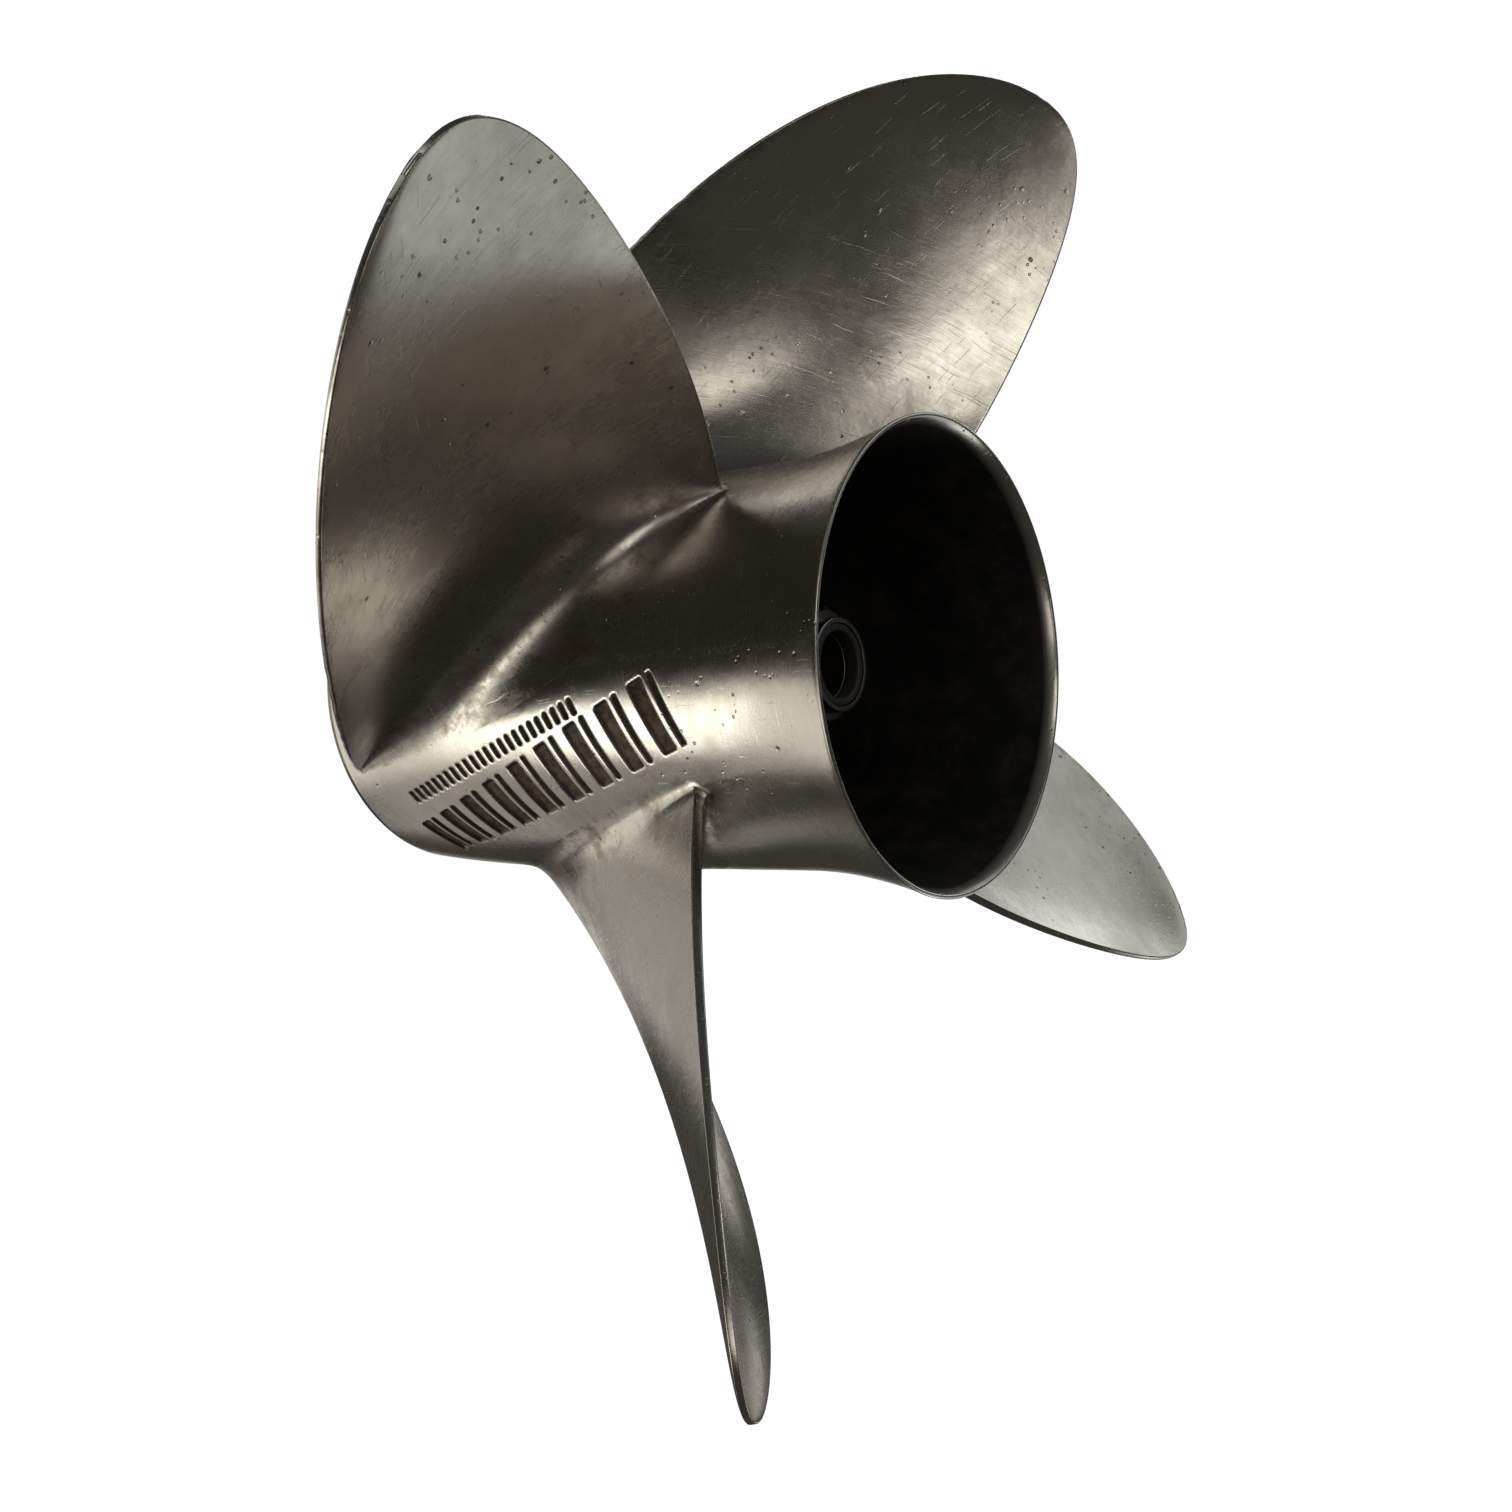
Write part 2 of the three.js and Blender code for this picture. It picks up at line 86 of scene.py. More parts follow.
class BarrelSettings(bpy.types.PropertyGroup):
    """Sizes of the barrel."""

    front: length("Front", "Where the front rim lies along the shaft", BARREL_LOW.x)
    aft: length("Aft", "Where the aft rim lies along the shaft", BARREL_HIGH.x)
    radius: length("Radius", "Outer radius of the straight middle", 55.7 * MM)
    front_draw: length("Front draw", "How far the front rim is drawn in", 2.6 * MM)
    taper: length("Front taper", "Length over which the front is drawn in", 50 * MM)
    flare_rise: length("Flare rise", "How far the aft rim stands out", 6.8 * MM)
    flare: length("Flare length", "Length of the flare at the aft end", 42 * MM)
    flare_power: number("Flare power", "How late the flare opens", 1.9)
    wall: length("Wall", "Wall thickness away from the aft rim", 3.6 * MM)
    rim_wall: length("Rim wall", "Wall thickness at the aft rim", 1.4 * MM)
    facing: length("Front facing", "Rounding of the front rim's corners", 1.1 * MM)


class BladeSettings(bpy.types.PropertyGroup):
    """Sizes of the blades."""

    tip_radius: length("Tip radius", "Distance of the tip from the shaft axis", 190.5 * MM)
    pitch: length("Pitch", "Advance in one turn", 565 * MM)
    first_angle: angle("First blade", "Angle of the first blade's root about the shaft", 167.4)
    chord: length("Chord", "Root chord along the helix", 143.6 * MM)
    taper: number("Chord taper", "Share of the chord lost towards the tip", 0.176)
    lead_round: number("Leading roundness", "Exponent of the leading outline", 3.49)
    trail_round: number("Trailing roundness", "Exponent of the trailing outline", 2.58)
    rake: number("Rake", "Aft lean per unit of radius", 0.827)
    relief: length("Rake relief", "How far the tip is held back from the rake line", 11.1 * MM)
    skew: angle("Skew", "Skew that grows evenly with radius", 6.2)
    tip_skew: angle("Tip skew", "More skew, gathered near the tip", 4.8)
    root_thick: length("Root thickness", "Thickness of a section at the root", 9 * MM)
    tip_thick: length("Tip thickness", "Thickness of a section near the tip", 3.6 * MM)
    camber: length("Camber", "Forward bow of the middle of a section", 4 * MM)
    lead_edge: length("Leading edge", "Thickness of the leading edge", 1.4 * MM)
    trail_edge: length("Trailing edge", "Thickness of the trailing edge at the root", 3 * MM)
    trail_edge_tip: length("Trailing edge at tip", "Thickness of the trailing edge at the tip", 1.6 * MM)
    aft_fillet: length("Aft fillet", "Reach of the aft root fillet where it is widest", 27 * MM)
    front_fillet: length("Front fillet", "Reach of the front root fillet where it is widest", 7.5 * MM)
    edge_fillet: length("Edge fillet", "Reach of the root fillet at the two edges", 3 * MM)
    aft_rise: number("Aft fillet rise", "Height of the aft fillet over its reach", 2.3)
    front_rise: number("Front fillet rise", "Height of the front fillet over its reach", 1.7)
    sink: length("Root sink", "How far the fillet's foot lies under the barrel's skin", 0.35 * MM)


class BandSettings(bpy.types.PropertyGroup):
    """Sizes of the engraved band of plain bars between two blade roots."""

    start: length("Start", "Where the band starts along the helix", -56 * MM)
    end: length("End", "Where the band ends along the helix", 61 * MM)
    low: length("Low edge", "Lower edge of the bars at the start", -2 * MM)
    drop: number("Drop", "How fast the band falls away from the helix", -0.21)
    height: length("Bar height", "Height of the first bar", 14 * MM)
    growth: number("Bar growth", "Share by which the last bar is taller than the first", 0.5)
    tick_low: length("Tick row", "Height of the ticks' foot above the bars' foot", 21.2 * MM)
    tick_height: length("Tick height", "Height of the ticks", 4.2 * MM)
    depth: length("Depth", "Depth of the engraving", 0.8 * MM)
    middle: angle("Middle", "Angle of the band's middle about the shaft", 212.4)


class FinishSettings(bpy.types.PropertyGroup):
    """Colours of the finishes."""

    steel: colour("Steel", "Polished cast steel", (0.56, 0.535, 0.49))
    steel_dark: colour("Dull steel", "Steel where the polish is dull", (0.33, 0.315, 0.285))
    stain: colour("Stain", "Brown water stain", (0.17, 0.10, 0.05))
    # Near-black colour of the barrel's inside: partly exhaust soot, partly painted shade of the tube's inside
    soot_and_shade: colour("Soot", "Exhaust deposit inside the barrel", (0.012, 0.011, 0.010))
    brass: colour("Brass", "Splined adapter", (0.62, 0.45, 0.2))
    composite: colour("Composite", "Drive sleeve", (0.03, 0.03, 0.032))
    nylon: colour("Nylon", "Locking ring", (0.05, 0.048, 0.042))


class StudioSettings(bpy.types.PropertyGroup):
    """Place and lens of the camera."""

    azimuth: angle("Azimuth", "Camera's direction round the object", 42.77)
    elevation: angle("Elevation", "Camera's height angle", -4.42)
    distance: length("Distance", "Camera's distance from its centre", 0.5096)
    centre: length("Centre", "Place on the shaft that the camera circles", -0.02477)
    pan: angle("Pan", "Camera's turn to the right of that centre", 6.555)
    tilt: angle("Tilt", "Camera's turn above that centre", -2.498)
    lens: number("Lens", "Focal length in millimetres", 39.37)


# ---- Meshes ----


def put_mesh(name, points, quads, triangles=(), attributes=None):
    """Makes an object from vertex and face arrays, turned the right way out.

    The sign of the enclosed volume, a sum of triple products of corners, tells which way the faces point."""
    points = np.ascontiguousarray(points, float)
    quads = np.asarray(quads, int).reshape(-1, 4)
    triangles = np.asarray(triangles, int).reshape(-1, 3)
    halves = np.vstack([quads[:, [0, 1, 2]], quads[:, [0, 2, 3]], triangles])
    a, b, c = (points[halves[:, k]] for k in range(3))
    if np.einsum("ij,ij->", a, np.cross(b, c)) < 0:
        quads, triangles = quads[:, ::-1], triangles[:, ::-1]
    mesh = bpy.data.meshes.new(name)
    mesh.from_pydata(points.tolist(), [], quads.tolist() + triangles.tolist())
    for key, values in (attributes or {}).items():
        values = np.ascontiguousarray(values, np.float32)
        kind, field = ("FLOAT", "value") if values.ndim == 1 else ("FLOAT_VECTOR", "vector")
        mesh.attributes.new(key, kind, "POINT").data.foreach_set(field, values.ravel())
    mesh.polygons.foreach_set("use_smooth", np.ones(len(mesh.polygons), bool))
    mesh.update()
    made = bpy.data.objects.new(name, mesh)
    bpy.context.scene.collection.objects.link(made)
    return made


def grid_quads(rows, columns, wrap_rows):
    """Quads of a grid of points whose columns run round and meet, and whose rows may too."""
    index = np.arange(rows * columns).reshape(rows, columns)
    index = np.hstack([index, index[:, :1]])
    if wrap_rows:
        index = np.vstack([index, index[:1]])
    return np.stack([index[:-1, :-1], index[:-1, 1:], index[1:, 1:], index[1:, :-1]], -1).reshape(-1, 4)


def loop_caps(rows, columns):
    """Faces that close the first and the last loop of a stack, from one half of the loop to the other."""
    half = columns // 2
    index = np.arange(1, half - 1)
    strip = np.stack([index, index + 1, columns - index - 1, columns - index], 1)
    ends = np.array([[0, 1, columns - 1], [half - 1, half, half + 1]])
    last = (rows - 1) * columns
    return np.vstack([strip[:, ::-1], last + strip]), np.vstack([ends[:, ::-1], last + ends])


def stacked_loops(name, points, attributes=None):
    """A closed piece from a stack of loops: points[i, j] is point j of loop i."""
    rows, columns = points.shape[:2]
    sides = grid_quads(rows, columns, False)
    caps, ends = loop_caps(rows, columns)
    return put_mesh(name, points.reshape(-1, 3), np.vstack([sides, caps]), ends, attributes)


def turned_loop(name, x, radius, turns, attributes=None):
    """A closed profile carried round the shaft: point (i, j) is at x[i, j], radius[i, j] and turns[j]."""
    rows, columns = radius.shape
    points = np.stack([np.broadcast_to(x, radius.shape), radius * np.cos(turns), radius * np.sin(turns)], -1)
    flat = {key: np.broadcast_to(v, radius.shape).ravel() for key, v in (attributes or {}).items()}
    return put_mesh(name, points.reshape(-1, 3), grid_quads(rows, columns, True), attributes=flat)


def rounded_loop(corners, columns, steps=4):
    """Turns corners [x, radius, rounding] of a closed profile into rows of x and radius, a value per column.

    Each corner is cut by a quadratic curve that starts and ends one rounding away and has the corner as its
    middle control point. A support row on each side keeps the faces between corners flat in shading."""
    here = np.array([[np.broadcast_to(v, columns) for v in corner[:2]] for corner in corners], float)
    reach = np.array([corner[2] for corner in corners], float)[:, None]
    rows = []
    for side in (1, -1):
        way = np.roll(here, side, 0) - here
        size = np.hypot(way[:, 0], way[:, 1])
        cut = np.minimum(reach, 0.4 * size)
        support = np.minimum(1.7 * cut, 0.48 * size)
        way = way / np.maximum(size, 1e-9)[:, None]
        rows.append((here + way * cut[:, None], here + way * support[:, None]))
    (start, before), (end, after) = rows
    t = np.linspace(0, 1, steps + 1)[None, :, None, None]
    curve = (1 - t) ** 2 * start[:, None] + 2 * t * (1 - t) * here[:, None] + t**2 * end[:, None]
    whole = np.concatenate([before[:, None], curve, after[:, None]], 1).reshape(-1, 2, columns)
    return whole[:, 0], whole[:, 1]


def turned_piece(name, corners, count=192):
    """A piece turned or milled about the shaft, from corners whose x and radius may vary with the angle."""
    x, radius = rounded_loop(corners, count)
    return turned_loop(name, x, radius, ring_turns(count))


def window(turns, centres, half, wall=0.5):
    """1 within half an angle of any centre and 0 elsewhere, with walls as wide as given, all in degrees."""
    off = np.abs((turns[:, None] - np.radians(centres)[None, :] + math.pi) % FULL_TURN - math.pi).min(1)
    return np.clip(0.5 + (math.radians(half) - off) / math.radians(wall), 0, 1)


def square_radius(turns, half, corner):
    """Distance from the axis to a square with rounded corners: its flat, and its corner arc past the flat."""
    folded = np.abs((turns + math.pi / 4) % (math.pi / 2) - math.pi / 4)
    flat = half / np.cos(folded)
    centre = (half - corner) * math.sqrt(2)
    off = math.pi / 4 - folded
    arc = centre * np.cos(off) + np.sqrt(np.maximum(0, corner**2 - (centre * np.sin(off)) ** 2))
    return np.where(half * np.tan(folded) > half - corner, arc, flat)


def hexagon_radius(turns, across_flats):
    """Distance from the axis to a hexagon with a flat at angle 0."""
    folded = (turns + math.pi / 6) % (math.pi / 3) - math.pi / 6
    return across_flats / 2 / np.cos(folded)


def ring_turns(count):
    return np.linspace(0, FULL_TURN, count, endpoint=False)


def smooth_step(x, low, high):
    t = np.clip((x - low) / (high - low), 0, 1)
    return t * t * (3 - 2 * t)


# ---- Barrel ----


def flare_share(x, s):
    return np.maximum(0, (x - (s.aft - s.flare)) / s.flare)


def barrel_radius(x, s):
    """Straight in the middle, drawn in by a parabola in front and opened by a power curve behind."""
    taper = np.clip((x - s.front) / s.taper, 0, 1)
    return s.radius - s.front_draw * (1 - taper) ** 2 + s.flare_rise * flare_share(x, s) ** s.flare_power


def barrel_bore(x, s):
    """The outer radius less a wall that thins evenly along the flare."""
    return barrel_radius(x, s) - (s.wall + (s.rim_wall - s.wall) * flare_share(x, s))


def band_place(x, turn, barrel, blade, band):
    """Distances along and across the root helix, on the barrel's skin laid out flat."""
    advance = blade.pitch / FULL_TURN
    size = math.hypot(advance, barrel.radius)
    climb = -barrel.radius * ((turn - band.middle + math.pi) % FULL_TURN - math.pi)
    along = (x * advance + climb * barrel.radius) / size
    across = (climb * advance - x * barrel.radius) / size
    return along, across


def bar_mask(along, across, band):
    """1 inside the engraved bars and 0 outside them, with soft walls.

    A row of leaning bars of two widths that grow taller along the band, and a row of small ticks above it."""
    wall, lean = 0.35 * MM, 0.16
    bars, ticks_per_bar = 9, 4
    level = across - band.low - band.drop * (along - band.start)
    run = along - band.start - lean * level

    def within(value, low, high):
        return smooth_step(value, low - wall, low + wall) * (1 - smooth_step(value, high - wall, high + wall))

    span = within(along, band.start, band.end)
    pitch = (band.end - band.start) / bars
    phase = np.mod(run, pitch)
    wide = within(phase, 1.6 * MM, 6.2 * MM)
    narrow = within(phase, 8.4 * MM, 9.9 * MM)
    share = (along - band.start) / (band.end - band.start)
    tall = np.maximum(wide, narrow) * within(level, 0, band.height * (1 + band.growth * share))
    tick = np.mod(run, pitch / ticks_per_bar)
    tick_high = band.tick_low + band.tick_height
    ticks = within(tick, 0.8 * MM, 2.1 * MM) * within(level, band.tick_low, tick_high)
    ticks = ticks * within(along, band.start + pitch, band.end - 2 * pitch)
    return span * np.maximum(tall, ticks)


def root_stain(x, turn, settings):
    """Where water gathers: a bell curve of the distance from each blade's trailing root corner."""
    s, blade = settings.barrel, settings.blade
    advance = blade.pitch / FULL_TURN
    corner = blade.chord / 2 / math.hypot(s.radius, advance)
    ahead, spread = 6 * MM, 15 * MM
    total = 0
    for i in range(4):
        place = blade.first_angle - FULL_TURN * i / 4 - corner
        off = s.radius * ((turn - place + math.pi) % FULL_TURN - math.pi)
        total = total + np.exp(-(off**2 + (x - advance * corner + ahead) ** 2) / spread**2)
    return total


def barrel_stations(s, fine):
    """Places along the skin: coarse at the front, fine under the band, and even along the flare."""
    coarse, band_start, flare_start = 1.6 * MM, -57 * MM, s.aft - s.flare
    return np.concatenate(
        [
            np.arange(s.front + s.facing, band_start, coarse),
            np.arange(band_start, flare_start, fine),
            np.linspace(flare_start, s.aft - s.rim_wall / 2, 30),
        ]
    )


def barrel_turns(s, band, fine):
    """Angles round the barrel: fine across the band, coarse elsewhere."""
    middle, half = band.middle, math.radians(31)
    return np.concatenate(
        [
            np.arange(middle - half, middle + half, fine / s.radius * 1.05),
            np.linspace(middle + half, middle - half + FULL_TURN, 136, endpoint=False),
        ]
    )


def aft_rim(s):
    """A half circle from the skin round to the bore: x and radius."""
    turn = np.linspace(0, math.pi, 11)[1:-1]
    half = s.rim_wall / 2
    return s.aft - half + np.sin(turn) * half, barrel_radius(s.aft, s) - half + np.cos(turn) * half


def front_rim(s):
    """A quarter circle from the bore to the face and another from the face to the skin: x and radius."""
    turn = np.linspace(0, math.pi / 2, 6)[1:]
    bore, outer = barrel_bore(s.front, s), barrel_radius(s.front, s)
    x = np.concatenate([1 - np.sin(turn), 1 - np.cos(turn)])
    radius = np.concatenate([bore + s.facing * (1 - np.cos(turn)), outer - s.facing * (1 - np.sin(turn))])
    return s.front + s.facing * x, radius


def build_barrel(settings):
    """The barrel's outer skin, aft rim, bore and front rim as one closed profile carried round the shaft.

    The skin sinks by the band's depth wherever the bar mask is 1."""
    s, band = settings.barrel, settings.band
    fine = 0.45 * MM
    stations, turns = barrel_stations(s, fine), barrel_turns(s, band, fine)
    columns = len(turns)
    along, across = band_place(stations[:, None], turns[None, :], s, settings.blade, band)
    mask = bar_mask(along, across, band)
    outside = barrel_radius(stations, s)[:, None] - band.depth * mask
    flare_start, gap = s.aft - s.flare, 4 * MM
    inside = np.concatenate(
        [
            np.linspace(s.aft - s.rim_wall / 2, flare_start, 14),
            np.linspace(flare_start - gap, s.front + s.facing, 16),
        ]
    )
    aft_x, aft_radius = aft_rim(s)
    front_x, front_radius = front_rim(s)
    x = np.concatenate([stations, aft_x, inside, front_x])
    plain = np.concatenate([aft_radius, barrel_bore(inside, s), front_radius])
    radius = np.vstack([outside, np.repeat(plain[:, None], columns, 1)])
    # Mask of the barrel's inside, fading out near the aft rim: soot together with painted shade
    soot_and_shade_share = np.zeros(len(x))
    first_inside = len(stations) + len(aft_x)
    soot_and_shade_edge = 1 - smooth_step(inside, s.aft - 3 * MM, s.aft - 0.6 * MM)
    soot_and_shade_share[first_inside : first_inside + len(inside)] = soot_and_shade_edge
    masks = np.vstack([mask, np.zeros((len(plain), columns))])
    turn = np.broadcast_to(turns, radius.shape)
    grain = np.stack([turn * s.radius, np.broadcast_to(x[:, None], radius.shape), radius * 0], -1)
    stain = root_stain(x[:, None], turns[None, :], settings)
    attributes = {"recess": masks, "soot_and_shade": soot_and_shade_share[:, None], "root": stain}
    made = turned_loop("barrel_shell", x[:, None], radius, turns, attributes)
    attach_vectors(made, "grain", grain)
    return made


def attach_vectors(made, key, values):
    made.data.attributes.new(key, "FLOAT_VECTOR", "POINT").data.foreach_set(
        "vector", np.ascontiguousarray(values, np.float32).ravel()
    )


# ---- Blades ----


def helix_point(span, turn, s, barrel):
    """The blade's middle surface: radius grows evenly with span, x follows the rake line and the helix."""
    height = s.tip_radius - barrel.radius
    radius = barrel.radius + height * span
    x = s.rake * height * span - s.relief * span**2 + s.pitch / FULL_TURN * turn
    place = -(s.skew * span + s.tip_skew * span**3) - turn
    return np.stack([x, radius * np.cos(place), radius * np.sin(place)], -1)


def edge_turn(span, across, s, barrel):
    """Half the chord as a turn: a tapering chord times a superellipse in span, over the helix's length."""
    outward = np.clip(span, 0, 1)
    roundness = np.where(across < 0, s.lead_round, s.trail_round)
    radius = barrel.radius + (s.tip_radius - barrel.radius) * span
    chord = s.chord * (1 - s.taper * outward) * np.sqrt(np.maximum(0, 1 - outward**roundness))
    return chord / 2 / np.hypot(radius, s.pitch / FULL_TURN)


def unit(v):
    return v / np.maximum(np.linalg.norm(v, axis=-1, keepdims=True), 1e-12)


def chord_direction(span, across, s, barrel):
    """The unit vector along the chord, from the leading edge to the trailing one."""
    step = 1e-3
    turn = across * edge_turn(span, across, s, barrel)
    return unit(helix_point(span, turn + step, s, barrel) - helix_point(span, turn - step, s, barrel))


def blade_skin(span, across, side, over, s, barrel):
    """A point of the skin: the middle surface, plus camber and half the thickness along its forward normal.

    side runs from 1 on the forward skin to -1 on the aft one, and over reaches past an edge."""
    step = 1e-3
    turn = across * edge_turn(span, across, s, barrel)
    chordwise = chord_direction(span, across, s, barrel)
    spanwise = helix_point(span + step, turn, s, barrel) - helix_point(span - step, turn, s, barrel)
    forward = unit(np.cross(chordwise, spanwise))
    forward = -forward * np.sign(forward[..., 0].mean())
    outward = np.clip(span, 0, 1)
    narrowing = np.sqrt(1 - outward**s.lead_round)
    trailing = s.trail_edge + (s.trail_edge_tip - s.trail_edge) * outward
    share = (across * narrowing + 1) / 2
    edge = s.lead_edge + (trailing - s.lead_edge) * share
    fullness = (1 - across**2) * narrowing
    thick = edge + (s.root_thick + (s.tip_thick - s.root_thick) * outward - edge) * fullness
    middle = helix_point(span, turn, s, barrel)
    offset = s.camber * fullness + side * thick / 2
    return middle + forward * offset[..., None] + chordwise * (over * edge / 2)[..., None]


def section_loop(strips=46, nose=8, heel=10):
    """One trip round a section, from the nose of the leading edge: (across, side, over) for each point.

    The skins are spaced as a cosine, the nose is a half circle and the heel a squared-off half ellipse."""
    skin = np.cos(np.linspace(math.pi, 0, strips + 1))
    nose_turn = np.linspace(0, math.pi / 2, nose + 1)[:-1]
    heel_turn = np.linspace(0, math.pi, heel + 1)[1:-1]
    across = np.concatenate([-np.ones(nose), skin, np.ones(heel - 1), skin[::-1], -np.ones(nose - 1)])
    half = np.sin(nose_turn)
    square = 0.4
    flat = np.sign(np.cos(heel_turn)) * np.abs(np.cos(heel_turn)) ** square
    side = np.concatenate([half, np.ones(strips + 1), flat, -np.ones(strips + 1), -half[1:][::-1]])
    lead = -np.cos(nose_turn)
    heel_over = 0.5 * np.sin(heel_turn) ** square
    zero = np.zeros(strips + 1)
    over = np.concatenate([lead, zero, heel_over, zero, lead[1:][::-1]])
    return across, side, over


def nick_depth(span, across, seed):
    """Small dents along the leading edge: a sum of narrow bumps in span, at seeded places.

    They fade over the first part of the chord, so a dent moves the edge without folding the skins."""
    random = np.random.default_rng(seed)
    count = 14
    places = random.uniform(0.1, 0.62, count)
    widths = random.uniform(0.004, 0.011, count)
    depths = random.uniform(0.08, 0.32, count) * MM
    bumps = (depths * np.exp(-(((span[..., None] - places) / widths) ** 2))).sum(-1)
    return bumps * smooth_step(-across, 0.93, 1.0)


def fillet_reach(across, side, s):
    """How far the fillet runs out on the barrel: little at the edges, most past mid chord on the aft skin."""
    aft_peak = 0.35
    peak = np.where(side < 0, aft_peak, 0.0)
    room = np.where(across < peak, 1 + peak, 1 - peak)
    belly = np.clip(1 - ((across - peak) / room) ** 2, 0, 1) ** 1.2
    widest = s.front_fillet + (s.aft_fillet - s.front_fillet) * (1 - side) / 2
    return s.edge_fillet + (widest - s.edge_fillet) * belly


def blade_rows(across, side, s, barrel):
    """Heights above the barrel and pushes outwards along it, for each row and loop point.

    A fillet row at t, 0 at the barrel and 1 at the top, has height rise t^2 and push reach (1 - t)^3, so the
    skin leaves the barrel flat and joins the blade without a bend. The rows above grow closer towards the
    tip, and one row below is sunk in the barrel's wall."""
    reach = fillet_reach(across, side, s)[None, :]
    rise = reach * (s.front_rise + (s.aft_rise - s.front_rise) * (1 - side) / 2)
    top = s.tip_radius - barrel.radius
    fillet_rows, skin_rows, evenness = 36, 101, 0.55
    t = np.linspace(0, 1, fillet_rows)[:, None]
    share = np.linspace(0, 1, skin_rows + 1)[1:, None]
    share = evenness * share + (1 - evenness) * (1 - (1 - share) ** 2.2)
    lift = 0.02 * MM * (1 - t) ** 2
    height = np.vstack([np.full_like(reach, -s.sink), rise * t**2 + lift, rise + (top - rise) * share])
    push = np.vstack([reach, reach * (1 - t) ** 3, np.zeros((len(share), reach.shape[1]))])
    return height, push


def blade_spans(height, across, side, over, s, barrel):
    """The span of each loop point, found by fixed-point steps.

    Near the root it gives the wanted height above the barrel. Further out it follows the height by itself."""
    reach = s.tip_radius - barrel.radius
    follow = 1 - smooth_step(height, 20 * MM, 70 * MM)
    steps, last_span = 7, 0.9995
    span = height / reach
    for _ in range(steps):
        points = blade_skin(span, across, side, over, s, barrel)
        above = np.hypot(points[..., 1], points[..., 2]) - barrel_radius(points[..., 0], barrel)
        span = span + ((height - above) * follow + (height - span * reach) * (1 - follow)) / reach
        span = np.minimum(span, last_span)
    return span


def square_to_loop(points):
    """Unit vectors along the barrel, square to the loops and pointing out of them."""
    loopwise = np.roll(points, -1, 1) - np.roll(points, 1, 1)
    outwards = unit(np.cross(loopwise, points * np.array([0, 1, 1])))
    centre = points.mean(1, keepdims=True)
    return outwards * np.sign((outwards * (points - centre)).sum((1, 2)))[:, None, None]


def blade_grain(span, across, side, s, barrel):
    """The blade laid out flat: distances along the chord and along the span, and one for the side."""
    reach, sides_apart = s.tip_radius - barrel.radius, 20 * MM
    helix_size = np.hypot(barrel.radius + span * reach, s.pitch / FULL_TURN)
    chordwise = across * edge_turn(span, across, s, barrel) * helix_size
    return np.stack([chordwise, span * reach, side * sides_apart], -1)


def build_blade(settings, number_in_turn):
    """Section loops stacked from the barrel's skin to the tip.

    The push moves a point along the barrel, square to the loop, and keeps its height."""
    s, barrel = settings.blade, settings.barrel
    around = section_loop()
    height, push = blade_rows(around[0], around[1], s, barrel)
    across, side, over = (np.broadcast_to(v, height.shape) for v in around)
    span = blade_spans(height, across, side, over, s, barrel)
    points = blade_skin(span, across, side, over, s, barrel)
    points = points + square_to_loop(points) * push[..., None]
    wanted = barrel_radius(points[..., 0], barrel) + height
    moved = np.hypot(points[..., 1], points[..., 2])
    points[..., 1:] *= np.where(push > 0, wanted / moved, 1)[..., None]
    nicks = nick_depth(span, across, number_in_turn)
    points = points + chord_direction(span, across, s, barrel) * nicks[..., None]
    turn = s.first_angle - FULL_TURN * number_in_turn / 4
    points = points @ np.array(Matrix.Rotation(turn, 3, "X")).T
    root_end = 26 * MM
    attributes = {
        "lead": smooth_step(-across, 0.90, 0.995).ravel(),
        "root": (1 - smooth_step(height, 0, root_end)).ravel(),
        "grain": blade_grain(span, across, side, s, barrel).reshape(-1, 3),
    }
    made = stacked_loops(f"blade_{number_in_turn + 1}_skin", points, attributes)
    crease_row(made.data, 1, height.shape[1])
    return made


def crease_row(mesh, row, columns):
    """Splits the shading along one row of loop points, where the skin meets its sunk root."""
    ends = np.empty(2 * len(mesh.edges), np.int32)
    mesh.edges.foreach_get("vertices", ends)
    on_row = (ends.reshape(-1, 2) // columns == row).all(1)
    mesh.attributes.new("sharp_edge", "BOOLEAN", "EDGE").data.foreach_set("value", on_row)


# ---- Nodes of a material ----


